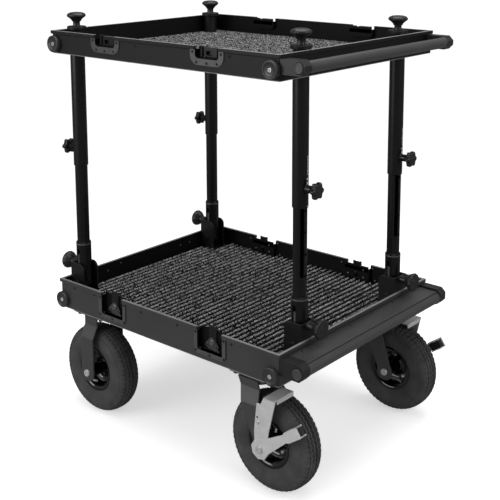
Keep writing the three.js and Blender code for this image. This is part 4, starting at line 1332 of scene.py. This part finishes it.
@dataclass
class Post:
    """One folding, telescopic post with its bracket and three knobs."""

    name: str
    x: float
    y: float
    turn: float

    def stock(self, more: float = 0.0) -> Stock:
        """Return stock whose -X is the post's outward side, turned on by some more degrees."""
        return Stock(turned_place(self.x, self.y, self.turn + more))

    def piece(self, name: str, stock: Stock, finishes: Sequence[Finish], body: str, slot: str,
              node: str = "", bevel: float = 0.0, smooth: float = 32.0) -> None:
        """Finish a piece of the post, whose name, body and node end in the post's name.

        Args:
            name: The piece's name.
            stock: Its shapes.
            finishes: Its finishes, in the order of the marks.
            body: The body that it rides on.
            slot: Its material slot.
            node: The node that it stands for.
            bevel: Width of the rounding of its edges, in millimetres.
            smooth: Edges sharper than this angle, in degrees, are edges and not curves.
        """
        own = f"_{self.name}"
        seat = Seat(body if body == "chassis" else body + own, slot, node and node + own)
        finish_piece(name + own, stock, finishes, seat, bevel, smooth)

    def bracket(self) -> None:
        """Build the hinge bracket and its fold pin."""
        stock = self.stock()
        back, foot, base, top, inside = -26.5, DECK_TOP, 330.3, 421, 22.01
        ear = [(back, foot), (27, foot), *arc((10, top - 17), 17, 0, 90, 14), (back, top)]
        pin = [(0, 26.5), (8, 26.5), (8, 29), (6.8, 30), (0, 30)]
        for side in SIDES:
            stock.prism(ear, Axis.Y, (side * 22, side * 27))
            stock.turn(mirrored(pin, side), Axis.Y, (0, 0, FOLD_Z), 32)
        stock.block((back, 27), (-inside, inside), (foot, base))
        stock.block((back, -22.5), (-inside, inside), (base, top))
        stock.rod(5, Axis.Y, (-27, 27), (0, 0, FOLD_Z), steps=24)
        self.piece("fold_bracket", stock, [DARK_STEEL], "chassis", "black_steel", "hinge_bracket", 0.8, 34)

    def foot(self) -> None:
        """Build the sleeve with its ring and keyholes, and the notched inner tube."""
        sleeve = [(0, FOLD_Z), (20.2, FOLD_Z), (21, 366), (21, 473.6), (20.5, 474), (20.5, 478), (21, 478.4),
                  (21, 481.2), (20.2, 482), (17.5, 482), (17.5, 794.6), (16.7, 795.4), (15, 795.4),
                  (15, 482.4), (0, 482.4)]
        stock = self.stock().turn(sleeve, Axis.Z)
        notches = self.stock()
        for z in (752, 698, 644, 590, 536):
            notches.block((-20, -14), (-4, 4), (z - 3, z + 3))
        slot = self.stock(-math.degrees(0.61))
        slot.prism([*arc((0, 537), 5, 180, 360, 12), (5, 761), (-5, 761)], Axis.X, (-20, -14))
        holes = self.stock()
        keyhole = [(-3.6, 424), *arc((0, 424), 3.6, 180, 360, 8), (3.6, 449), *arc((0, 456), 7, -50, 230, 12),
                   (-3.6, 449)]
        for side in SIDES:
            holes.prism(keyhole, Axis.Y, (side * 14, side * 24))
        for tool in (notches, slot, holes):
            stock.carve(tool)
        knuckle = self.stock().rod(20.98, Axis.Y, (-21, 21), (0, 0, FOLD_Z))
        stock.take(knuckle.carve(self.stock().rod(20.98, Axis.Z, (340, 390)), Cut.SHARED))
        self.piece("inner_tube", stock, [INNER], "post_foot", "black_inner_tube", "inner_post")
        band = [(20.4, 474.2), (21.1, 474.2), (21.25, 474.8), (21.25, 477.2), (21.1, 477.8), (20.4, 477.8)]
        ring = self.stock().turn(band, Axis.Z, ring=True)
        tongue = [*arc((0, 424), 3.2, 180, 360, 8), (3.2, 446), (-3.2, 446)]
        for side in SIDES:
            ring.prism(tongue, Axis.Y, (side * 13, side * 19.5))
        self.piece("sleeve_ring", ring, [STUD], "post_foot", "zinc", smooth=40)

    def head(self) -> None:
        """Build the sliding tube with its boss."""
        tube = [(17.95, 704), (18.8, 704), (20, 705.2), (20, 1021.6), (19.2, 1022.4), (0, 1022.4),
                (0, 1014.4), (17.95, 1014.4), (17.95, 704)]
        stock = self.stock().turn(tube, Axis.Z)
        bmesh.ops.remove_doubles(stock.mesh, verts=stock.mesh.verts, dist=1e-4)
        boss = [(4.4, -35), (8.7, -35), (9.5, -34.2), (9.5, -22), (10.6, -19.4), (4.4, -18.2)]
        stock.turn(boss, Axis.X, (0, 0, HEIGHT_KNOB_Z), 40, ring=True)
        self.piece("sliding_tube", stock, [TUBE], "post_head", "black_outer_tube", "outer_post")

    def marks(self) -> None:
        """Build the white scale on the sliding tube."""
        stock = self.stock(13)
        span, deep = (-20.25, -19.6), (-20.6, -19.4)
        stock.block(span, (2.2, 3.2), (786, 831))
        for k in range(6):
            stock.block(span, (-2.6, 2.2), (786 + k * 8.8, 787.2 + k * 8.8))
        stock.prism([(4, 779), (6.5, 776), (4, 773), (1.5, 776)], Axis.X, deep)
        stock.prism([(4, 770), (6, 763), (1, 763)], Axis.X, deep)
        stock.block(span, (-1.5, 3.5), (708, 710.2))
        self.piece("scale", stock, [WHITE_MARK], "post_head", "zinc")

    def base_knob(self) -> None:
        """Build the round knob that locks the fold, with its neck, shank and lid."""
        at = (0, 0, BASE_KNOB_Z)
        stock = self.stock()
        stock.turn([(0, -22.4), (13, -22.6), (19.5, -23.8), (23.6, -23), (25, -20.4), (24.6, -17), (20.6, -9),
                    (15, -2.4), (12.5, 0), (0, 0)], Axis.X, (-47.8, 0, BASE_KNOB_Z), 96, lobes=(16, 0.035))
        stock.turn([(0, -47.9), (11, -47.9), (10.2, -45), (10.2, -30), (11, -27.2), (11, -26.8), (0, -26.8)],
                   Axis.X, at, 40)
        stock.rod(5, Axis.X, (-27, -22.8), at, 1, steps=24)
        stock.turn([(0, -71.2), (6.5, -71.2), (7.2, -70.6), (7.2, -69), (0, -69)], Axis.X, at, 32)
        self.piece("base_knob_head", stock, [PLASTIC, BRIGHT], "base_knob", "knob_plastic", "base_knob",
                   smooth=40)

    def height_knob(self) -> None:
        """Build the star knob that clamps the tube, with its collar, screw and lid."""
        at = (0, 0, HEIGHT_KNOB_Z)
        head = [(0, -56.8), (13, -56.8), (19.6, -56), (21.6, -54.2), (22, -51.6), (22, -47), (21.4, -44.4),
                (19.4, -43.1), (15, -42.8), (0, -42.8)]
        stock = self.stock().turn(head, Axis.X, at, 96, lobes=(6, 0.27))
        stock.turn([(0, -43), (7, -43), (7, -35.3), (0, -35.3)], Axis.X, at, 32)
        stock.rod(4, Axis.X, (-36, -20), at, 1, steps=20)
        stock.turn([(0, -57.6), (5.2, -57.6), (6, -56.9), (6, -55), (0, -55)], Axis.X, at, 32)
        self.piece("star_knob", stock, [PLASTIC, BRIGHT], "height_knob", "knob_plastic", "height_knob",
                   smooth=40)

    def tray_knob(self) -> None:
        """Build the domed knob that holds the tray down, with its neck and screw."""
        head = [(0, 1132.3), (8, 1132.1), (16, 1131.2), (22.4, 1128.9), (25.6, 1125.2), (26, 1122.6),
                (25, 1120.2), (22.6, 1118.6), (17.4, 1114.6), (13.4, 1110.4), (12.4, 1107.3), (0, 1107.3)]
        stock = self.stock().turn(head, Axis.Z, steps=96, lobes=(12, 0.035))
        stock.turn([(0, 1108), (10.5, 1108), (9.6, 1105), (9.6, 1097), (10.5, 1094.6), (10.5, 1094.3),
                    (0, 1094.3)], Axis.Z, steps=40)
        stock.rod(8, Axis.Z, (1039.3, 1095), mark=1, steps=32)
        self.piece("mushroom_knob", stock, [PLASTIC, BRIGHT], "tray_knob", "knob_plastic", "tray_knob",
                   smooth=40)

    def build(self) -> None:
        """Build every piece of the post."""
        self.bracket()
        self.foot()
        self.marks()
        self.head()
        self.base_knob()
        self.height_knob()
        self.tray_knob()


class Zone(Enum):
    """The parts of a tyre's section, from the rim out to the middle of the tread."""

    WALL = "wall"
    SHOULDER = "shoulder"
    RIBS = "ribs"


@dataclass
class Wheel:
    """A pneumatic tyre on a pressed rim."""

    end: str
    place: str
    x: float
    y: float
    side: int
    steps: int = 336
    teeth: int = 56
    zigzag: float = 1.6
    notch: float = 2.3
    bolt_circle: float = 34.0

    @property
    def name(self) -> str:
        """Return the wheel's end and side of the cart."""
        return f"{self.end}_{self.place}"

    @property
    def body(self) -> str:
        """Return the wheel's body."""
        return f"{self.end}_wheel_{self.place}"

    def tread(self) -> Stock:
        """Draw the tyre, with zigzag ribs on its tread and notched shoulders.

        Returns:
            The tyre.
        """
        wall = [(54.3, 25.7), (61.6, 25.7), (62.4, 28.2), (63.6, 30.0), (65.9, 31.2), (68.4, 31.7),
                (69.6, 33.0), (71.7, 33.7), (77.5, 35.5), (84.3, 36.9), (91.1, 37.6), (97.9, 36.4),
                (103.7, 34.4), (105.2, 33.7), (105.8, 34.5), (107.7, 33.7), (108.3, 32.6)]
        shoulder = [(112.4, 30.9), (115.5, 29.0), (117.6, 27.0), (119.6, 24.4), (120.8, 22.2)]
        ribs = [(119.2, 21.4), (118.4, 20.6), (119.0, 19.2), (122.4, 18.4), (123.4, 15.6), (124.0, 13.0),
                (120.7, 12.2), (120.8, 10.2), (124.5, 9.4), (124.9, 6.4), (124.9, 4.0), (121.3, 3.2),
                (121.3, 1.2), (125, 0.3)]
        half = [(r, y, zone) for zone, part in zip(Zone, (wall, shoulder, ribs)) for r, y in part]
        profile = [(r, -y, zone) for r, y, zone in half] + [(r, y, zone) for r, y, zone in reversed(half)]
        points = []
        per = self.steps // self.teeth
        for i in range(self.steps):
            angle = 2 * math.pi * (i + 0.5) / self.steps
            phase = (i % per) / per
            swing = self.zigzag * (abs(phase * 2 - 1) * 2 - 1)
            for r, y, zone in profile:
                if zone is Zone.RIBS:
                    y += swing
                elif zone is Zone.SHOULDER and (i + (per // 2 if y > 0 else 0)) % per < 2:
                    r -= self.notch * min(1.0, (r - 112) / 6)
                points.append((self.x + r * math.cos(angle), self.y + y, AXLE_Z + r * math.sin(angle)))
        return Stock().skin(points, grid_faces(self.steps, len(profile), True))

    def rim(self) -> Stock:
        """Draw the rim: hub, pressed web, barrel and rolled flanges.

        Returns:
            The rim.
        """
        at = (self.x, self.y, AXLE_Z)
        web = [(17, 3.0), (22, 5.4), (27, 8.6), (33, 9.4), (39, 6.4), (44, 3.4), (48, 3.8)]
        barrel = [(50.6, 7.0), (51, 12), (51, 25), (53.4, 27.6), (57, 28.6), (60.2, 29.6), (62, 29.0),
                  (62.2, 27.0), (60.4, 26.0), (54, 25.8)]
        other = [*mirrored(barrel[::-1], -1), *[(r, y - 3.0) for r, y in web[::-1]]]
        stock = Stock().turn([*web, *barrel, *other], Axis.Y, at, 96, ring=True)
        hub = [(6.4, 45), (15, 45), (17, 43), (17, 1), (6.4, 1)]
        for side in SIDES:
            stock.turn(mirrored(hub, side), Axis.Y, at, 48, ring=True)
        return stock

    def valve(self) -> Stock:
        """Draw the valve, with the short hose that shows on one front wheel.

        Returns:
            The valve.
        """
        stock = Stock()
        x, y, z, side = self.x, self.y, AXLE_Z, self.side
        if self.name == "front_far":
            stock.hose([(x - 6, y - 21, z - 33), (x + 6, y - 23, z - 27), (x + 18, y - 24, z - 24),
                        (x + 27, y - 25, z - 26), (x + 36, y - 25, z - 33)], 2.2)
            return stock.rod(4.2, Axis.Y, (y - 32, y - 16), (x + 44, 0, z - 10), 1, 0.8, 24)
        if self.name == "rear_near":
            return stock.hose([(x - 16, y - 22, z - 40), (x - 4, y - 25, z - 36), (x + 4, y - 27, z - 34)],
                              3.0, 1)
        stock.rod(4.2, Axis.Y, sorted((y + side * 16, y + side * 27)), (x + 40, 0, z - 8), 1, 0.8, 24)
        return stock.hose([(x + 40, y + side * 17, z - 8), (x + 45, y + side * 15, z - 9),
                           (x + 50, y + side * 13, z - 10)], 2.6)

    def build(self, rows: FastenerRows) -> None:
        """Build the tyre, the rim, its bolts and its valve.

        Args:
            rows: The fasteners.
        """
        finish_piece(f"pneumatic_tyre_{self.name}", self.tread(), [TYRE],
                     Seat(self.body, "tyre_rubber", f"{self.end}_tyre_{self.place}"), smooth=38)
        finish_piece(f"pressed_rim_{self.name}", self.rim(), [RIM],
                     Seat(self.body, "gloss_rim", f"{self.end}_rim_{self.place}"), smooth=40)
        places = []
        for side, out in ((-1, 5.4), (1, 9.0)):
            for angle in (math.pi / 4 + k * math.pi / 2 for k in range(4)):
                across, up = self.bolt_circle * math.cos(angle), self.bolt_circle * math.sin(angle)
                places.append(((self.x + across, self.y + out, AXLE_Z + up), (0, side, 0)))
        rows.lay(f"rim_bolts_{self.name}", hex_nut(5.2, 5.0), places, STEEL, Seat(self.body, "black_steel"))
        finish_piece(f"valve_{self.name}", self.valve(), [BRASS, BRIGHT], Seat(self.body, "zinc"), smooth=40)


def fork_stock(place: Matrix, trail: float, crown_foot: float, crown_top: float, root: float) -> Stock:
    """Return a bent strip fork whose legs step out past the tyre.

    Args:
        place: Where the wheel's plane and the fork's axis are.
        trail: From the axis to the axle.
        crown_foot: Underside of the crown.
        crown_top: Top of the crown.
        root: Half the width of the legs at the crown, on the side away from the trail.

    Returns:
        The stock.
    """
    right = [(57, 97), (57, 228), (40, 261), (40, crown_top)]
    inside = [(35, crown_foot), (35, 260.4), (52, 227.4), (52, 97)]
    left, left_inside = ([(-y, z) for y, z in reversed(part)] for part in (right, inside))
    slant = math.degrees(math.atan2(trail, crown_top - AXLE_Z))
    leg = [(-root, crown_top), *arc((trail, AXLE_Z), 25, 180 - slant, 360 - slant, 24), (25, crown_top)]
    strip = Stock(place).prism([*right, *left, *left_inside, *inside], Axis.X, (-110, 110))
    return strip.carve(Stock(place).prism(leg, Axis.Y, (-57.5, 57.5)), Cut.SHARED)


def axle_stock(place: Matrix, x: float, side: int, outer: float) -> Stock:
    """Return an axle bolt with domed heads and spacers.

    Args:
        place: Where the wheel's plane is.
        x: From the place to the axle.
        side: The side that the outer head is on.
        outer: How far from the wheel's plane the outer head starts.

    Returns:
        The stock.
    """
    inner = LEG_FACE
    at = (x, 0, AXLE_Z)
    stock = Stock(place)
    spacer = [(0, 45.3), (9, 45.3), (9, 51.7), (0, 51.7)]
    for sign, start in ((-side, inner), (side, outer)):
        head = [(0, 0), (10, 0), (10, 3.4), (8.8, 5.2), (4.6, 5.5), (4.2, 3.6), (0, 3.6)]
        stock.turn([(r, sign * (start + y)) for r, y in head], Axis.Y, at, 40)
        stock.turn(mirrored(spacer, sign), Axis.Y, at, 32)
    stock.rod(6, Axis.Y, (-58, 58), at, steps=32)
    if outer > inner:
        shank = [(0, 57), (6, 57), (6, outer + 0.2), (0, outer + 0.2)]
        stock.turn(mirrored(shank, side), Axis.Y, at, 32)
    return stock


@dataclass
class Caster:
    """What the fixed and the swivelling casters have in common."""

    place_name: str
    side: int
    x: float = 0.0
    y: float = 270.0

    @property
    def place(self) -> Matrix:
        """Return where the wheel's plane and the fork's axis are."""
        return Matrix.Translation((self.x, self.side * self.y, 0))

    def plate_stock(self) -> Stock:
        """Return the bolted plate."""
        return Stock(self.place).block((-55, 55), (-50, 50), (PLATE_FOOT, PLATE_FOOT + 6))

    def plate_bolts(self, rows: FastenerRows, end: str) -> None:
        """Set the four bolts of the plate.

        Args:
            rows: The fasteners.
            end: The cart's end that the caster is at.
        """
        y = self.side * self.y
        places = [((self.x + a * 43, y + b * 39, PLATE_FOOT), (0, 0, -1)) for a in SIDES for b in SIDES]
        rows.lay(f"plate_bolts_{end}_{self.place_name}", hex_nut(7, 6.5), places, STEEL,
                 Seat("chassis", "black_steel"))


@dataclass
class RearCaster(Caster):
    """A fixed caster: plate, fork, axle and wheel."""

    x: float = -295.0

    def build(self, rows: FastenerRows) -> None:
        """Build the caster.

        Args:
            rows: The fasteners.
        """
        name = self.place_name
        fork = fork_stock(self.place, 0, 285.2, 291.2, 25.0).take(self.plate_stock())
        finish_piece(f"fixed_fork_{name}", fork, [STEEL],
                     Seat("chassis", "caster_steel", f"rear_fork_{name}"), 1.0, 24, 3)
        finish_piece(f"fixed_axle_{name}", axle_stock(self.place, 0, self.side, LEG_FACE), [BRIGHT],
                     Seat("chassis", "zinc", f"rear_axle_{name}"), smooth=34)
        self.plate_bolts(rows, "rear")
        Wheel("rear", name, self.x, self.side * self.y, self.side).build(rows)


@dataclass
class FrontCaster(Caster):
    """A swivelling caster with a foot brake."""

    x: float = 291.0
    trail: float = 52.0
    brake_sheet: float = 3.0
    pedal_rise: float = 0.616

    @property
    def body(self) -> str:
        """Return the body that swivels."""
        return f"caster_{self.place_name}"

    def build(self, rows: FastenerRows) -> None:
        """Build the caster.

        Args:
            rows: The fasteners.
        """
        place, name = self.place, self.place_name
        self.plate()
        self.plate_bolts(rows, "front")
        crown = [(7.3, 275.5), (36, 275.5), (37, 276.5), (37, 280.3), (36, 281.3), (7.3, 281.3)]
        collar = [(13, 267.5), (35, 267.5), (35, 276), (13, 276)]
        fork = fork_stock(place, self.trail, 275.4, 281.4, 37.0)
        for profile in (crown, collar):
            fork.take(Stock(place).turn(profile, Axis.Z, ring=True))
        finish_piece(f"swivel_fork_strip_{name}", fork, [STEEL],
                     Seat(self.body, "caster_steel", f"swivel_fork_{name}"), 1.0, 24, 3)
        finish_piece(f"swivel_axle_{name}", axle_stock(place, self.trail, self.side, 64.4), [BRIGHT],
                     Seat(self.body, "zinc", f"front_axle_{name}"), smooth=34)
        self.shoe(rows)
        self.pedal()
        Wheel("front", name, self.x + self.trail, self.side * self.y, self.side).build(rows)

    def plate(self) -> None:
        """Build the bolted plate with its race, kingpin and nut."""
        race = [(0, 291.2), (33.6, 291.2), (35, 289.8), (35, 287.8), (33.8, 286.4), (35, 285), (35, 283),
                (33.6, 281.7), (0, 281.7)]
        nut = [(0, 268.1), (10.6, 268.1), (12, 269.3), (12, 275.1), (0, 275.1)]
        stock = self.plate_stock().turn(race, Axis.Z)
        stock.rod(7, Axis.Z, (274.6, 282.2), mark=1, steps=32)
        stock.turn(nut, Axis.Z, steps=6, mark=1)
        name = self.place_name
        finish_piece(f"swivel_plate_{name}", stock, [STEEL, BRIGHT],
                     Seat("chassis", "caster_steel", f"caster_plate_{name}"), 0.7, 34)

    def shoe(self, rows: FastenerRows) -> None:
        """Build the brake's side plate and the shoe plate across the tread.

        Args:
            rows: The fasteners.
        """
        s, trail, name = self.side, self.trail, self.place_name
        outline = [(46, 137), (25, 50), *arc((0, 0), 18, 0, -180, 20), (-20, 40), (-12, 115), (0, 115),
                   (11, 137)]
        plate = [(trail + a, AXLE_Z + b) for a, b in outline]
        face = LEG_FACE + self.brake_sheet
        stock = Stock(self.place).prism(plate, Axis.Y, (s * LEG_FACE, s * face))
        hole = Stock(self.place).rod(3.2, Axis.Y, sorted((s * 55, s * 63)), (trail - 10, 0, 204), steps=24)
        stock.carve(hole)
        for xs, reach, zs in (((11, 46), face, (259, 262)), ((43, 46), 52, (250, 259.5)),
                              ((11, 13.4), 52, (254, 259.5))):
            stock.block([trail + a for a in xs], sorted((-s * 10, s * reach)), zs)
        finish_piece(f"brake_plate_{name}", stock, [ZINC], Seat(self.body, "zinc", f"brake_bracket_{name}"),
                     0.7, 30)
        spot = (self.x + trail - 7, s * (self.y + face), 191)
        rows.lay(f"brake_rivets_{name}", rivet_head(4.6, 2.2), [(spot, (0, s, 0))], BRIGHT,
                 Seat(self.body, "zinc"))

    def pedal(self) -> None:
        """Build the lever that turns on the axle, with its lips and rubber pad."""
        s, name = self.side, self.place_name
        rise = Matrix.Rotation(-self.pedal_rise, 4, "Y")
        local = self.place @ Matrix.Translation((self.trail, 0, AXLE_Z)) @ rise
        hub = arc((0, 0), 26, 45, 315, 6)
        outline = [*hub, (93, -10), (102, -13.5), (143, -13.5), (143, 13.5), (102, 13.5), (93, 10)]
        stock = Stock(local).prism(outline, Axis.Y, (s * 60.6, s * 64.1))
        stock.carve(Stock(local).rod(6.4, Axis.Y, sorted((s * 55, s * 70)), steps=32))
        for edge in SIDES:
            lip = sorted((edge * 10.5, edge * 13.5))
            stock.block((129, 143), sorted((s * 40.6, s * 61)), lip)
            stock.block((102, 143), sorted((s * 46.6, s * 61)), lip)
        stock.prism([(30, -4.5), (92, -3.2), (92, 3.2), (30, 4.5)], Axis.Y, (s * 64.0, s * 64.08))
        stock.block((105, 140), sorted((s * 47.2, s * 61)), (-12.9, 12.9), 1)
        pedal = f"brake_pedal_{name}"
        finish_piece(f"brake_lever_{name}", stock, [ZINC, PAD], Seat(pedal, "zinc", pedal), 0.6, 30)


class Studio:
    """Floor, lights, world and camera."""

    def floor(self) -> None:
        """Lay the pale floor, which shows as white and keeps the shadow."""
        mesh = bpy.data.meshes.new("floor")
        half = 14.0
        mesh.from_pydata([(-half, -half, 0), (half, -half, 0), (half, half, 0), (-half, half, 0)], [],
                         [(0, 1, 2, 3)])
        near_glow, far_glow, mirrored_glow = 0.52, 1.05, 0.16
        fade_start, fade_rate = 1.3, 0.8
        material = bpy.data.materials.new("pale_floor")
        material.use_nodes = True
        bench = Bench(material.node_tree)
        path = bench.node("ShaderNodeLightPath").outputs
        seen = Wire(bench, path["Is Camera Ray"])

        def glow(strength: Wire | float) -> bpy.types.NodeSocket:
            """Return a white glow of some strength."""
            return bench.node("ShaderNodeEmission", {"Color": (1, 1, 1, 1), "Strength": strength}).outputs[0]

        paint = bench.node("ShaderNodeBsdfDiffuse", {"Color": (0.9, 0.9, 0.9, 1)})
        near = bench.node("ShaderNodeAddShader", {0: paint.outputs[0], 1: glow(seen * near_glow)})
        place = bench.wire("ShaderNodeTexCoord", "Object")
        reach = bench.wire("ShaderNodeVectorMath", "Value", {0: place}, operation="LENGTH")
        away = bench.wire("ShaderNodeClamp", 0, {0: (reach - fade_start) * fade_rate})
        whole = bench.node("ShaderNodeMixShader", {0: away, 1: near.outputs[0], 2: glow(seen * far_glow)})
        shown = bench.node("ShaderNodeMixShader", {0: path["Is Glossy Ray"], 1: whole.outputs[0],
                                                   2: glow(mirrored_glow)})
        bench.node("ShaderNodeOutputMaterial", {"Surface": shown.outputs[0]})
        mesh.materials.append(material)
        linked_object("floor", mesh)

    def world(self) -> None:
        """Set a white surround that the camera and reflections see, and a soft fill."""
        world = bpy.data.worlds.new("studio")
        bpy.context.scene.world = world
        world.use_nodes = True
        bench = Bench(world.node_tree)
        path = bench.node("ShaderNodeLightPath").outputs
        seen = Wire(bench, path["Is Camera Ray"]) + Wire(bench, path["Is Transmission Ray"])
        mirrored_glow, fill = 0.26, 0.42
        seen = seen + Wire(bench, path["Is Glossy Ray"]) * mirrored_glow
        strength = seen + Wire(bench, path["Is Diffuse Ray"]) * fill
        ground = bench.node("ShaderNodeBackground", {"Color": (1, 1, 1, 1), "Strength": strength})
        bench.node("ShaderNodeOutputWorld", {"Surface": ground.outputs[0]})

    def lamp(self, name: str, place: Point, aim: Point, size: tuple[float, float], power: float) -> None:
        """Hang a soft lamp at a place in millimetres, pointing at another.

        Args:
            name: The lamp's name.
            place: Where it hangs.
            aim: Where it points.
            size: Its two sides, in metres.
            power: Its power, in watts.
        """
        light = bpy.data.lights.new(name, "AREA")
        light.shape, light.size, light.size_y, light.energy = "RECTANGLE", size[0], size[1], power
        made = bpy.data.objects.new(name, light)
        made.location = SHIFT @ Vector(place)
        made.rotation_euler = (Vector(aim) - Vector(place)).to_track_quat("-Z", "Y").to_euler()
        bpy.context.scene.collection.objects.link(made)

    def camera(self) -> None:
        """Set the camera at the photograph's viewing angle."""
        frame_px, focal_px, centre_px = 500, 988.69, (266.0, 96.05)
        lens = bpy.data.cameras.new("camera")
        lens.sensor_width, lens.lens = 36.0, focal_px / frame_px * 36.0
        lens.shift_x, lens.shift_y = (-(centre_px[0] - frame_px / 2) / frame_px,
                                      -(frame_px / 2 - centre_px[1]) / frame_px)
        made = bpy.data.objects.new("camera", lens)
        made.location = SHIFT @ Vector((1758.5, -2009.6, 1369.0))
        made.rotation_euler = (math.radians(90 - 9.88), 0, math.radians(39.77))
        bpy.context.scene.collection.objects.link(made)
        bpy.context.scene.camera = made

    def build(self) -> None:
        """Set up the studio."""
        self.floor()
        self.world()
        self.camera()
        self.lamp("overhead", (230, 100, 3200), (30, 0, 600), (2.8, 2.4), 60)
        self.lamp("front_fill", (-1170, -3200, 1500), (30, 0, 500), (2.2, 1.8), 42)
        self.lamp("handle_side", (3400, 600, 2200), (30, 0, 600), (1.6, 1.6), 24)
        bpy.context.scene.view_settings.view_transform = "Standard"


class CameraCart:
    """The whole cart."""

    def __init__(self) -> None:
        """Make the two trees that lay fasteners and pile."""
        self.rows, self.pile = FastenerRows(), PileRows()

    def lower_tray(self) -> None:
        """Build the lower tray."""
        foot, rim = 297, 380
        tray = LowerTray("lower", "chassis", foot, rim, rail_section(foot, rim, 322.7, 26),
                         Dish(42, 320, 5, 11), 322, BOUNCE_LIT_RAIL)
        tray.rails()
        tray.dishes()
        tray.bumpers(self.rows)
        tray.rivets(self.rows, [(-47.5, 365), (-47.5, 317), (0, 314), (47.5, 317), (47.5, 365)],
                    [(x, 363) for x in (-72, 63, 248, -258, -340)])
        tray.hooks()
        tray.keys()
        tray.studs(self.rows)
        tray.carpet(self.pile)

    def upper_tray(self) -> None:
        """Build the upper tray."""
        foot, rim = 1023, 1085
        tray = UpperTray("upper", "upper_tray", foot, rim, rail_section(foot, rim, 1026, 14),
                         Dish(38, 1055, 8, 16), 1049, UPPER_RAIL)
        tray.rails()
        tray.dishes()
        tray.bumpers(self.rows)
        tray.rivets(self.rows, [(-46, 1070), (-33, 1046), (0, 1045), (33, 1046), (46, 1070)],
                    [(-72, 1068), (248, 1068)])
        tray.catches()
        tray.deck()
        tray.carpet(self.pile)

    def build(self) -> None:
        """Build the sub-assemblies in order."""
        self.lower_tray()
        self.upper_tray()
        PushHandle("upper", "upper_tray", 14, 1058, 1040, 1075.7, 15.5, 12.5).build()
        PushHandle("lower", "chassis", 15.5, 346.1, 327, 370.7, 16.5, 14).build()
        StepPlate().build(self.rows)
        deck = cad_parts["lower_deck"].data.materials
        deck.clear()
        deck.append(skin(STEEL))
        for end, x, y, turn in POST_PLACES:
            Post(f"{end}_near", x, -y, turn).build()
            Post(f"{end}_far", x, y, turn).build()
        for side, place_name in SIDE_NAMES.items():
            RearCaster(place_name, side).build(self.rows)
            FrontCaster(place_name, side).build(self.rows)


def main() -> None:
    """Build the studio and the cart."""
    logging.basicConfig(level=logging.INFO, format="%(name)s: %(message)s")
    Studio().build()
    CameraCart().build()


if __name__ == "__main__":
    main()
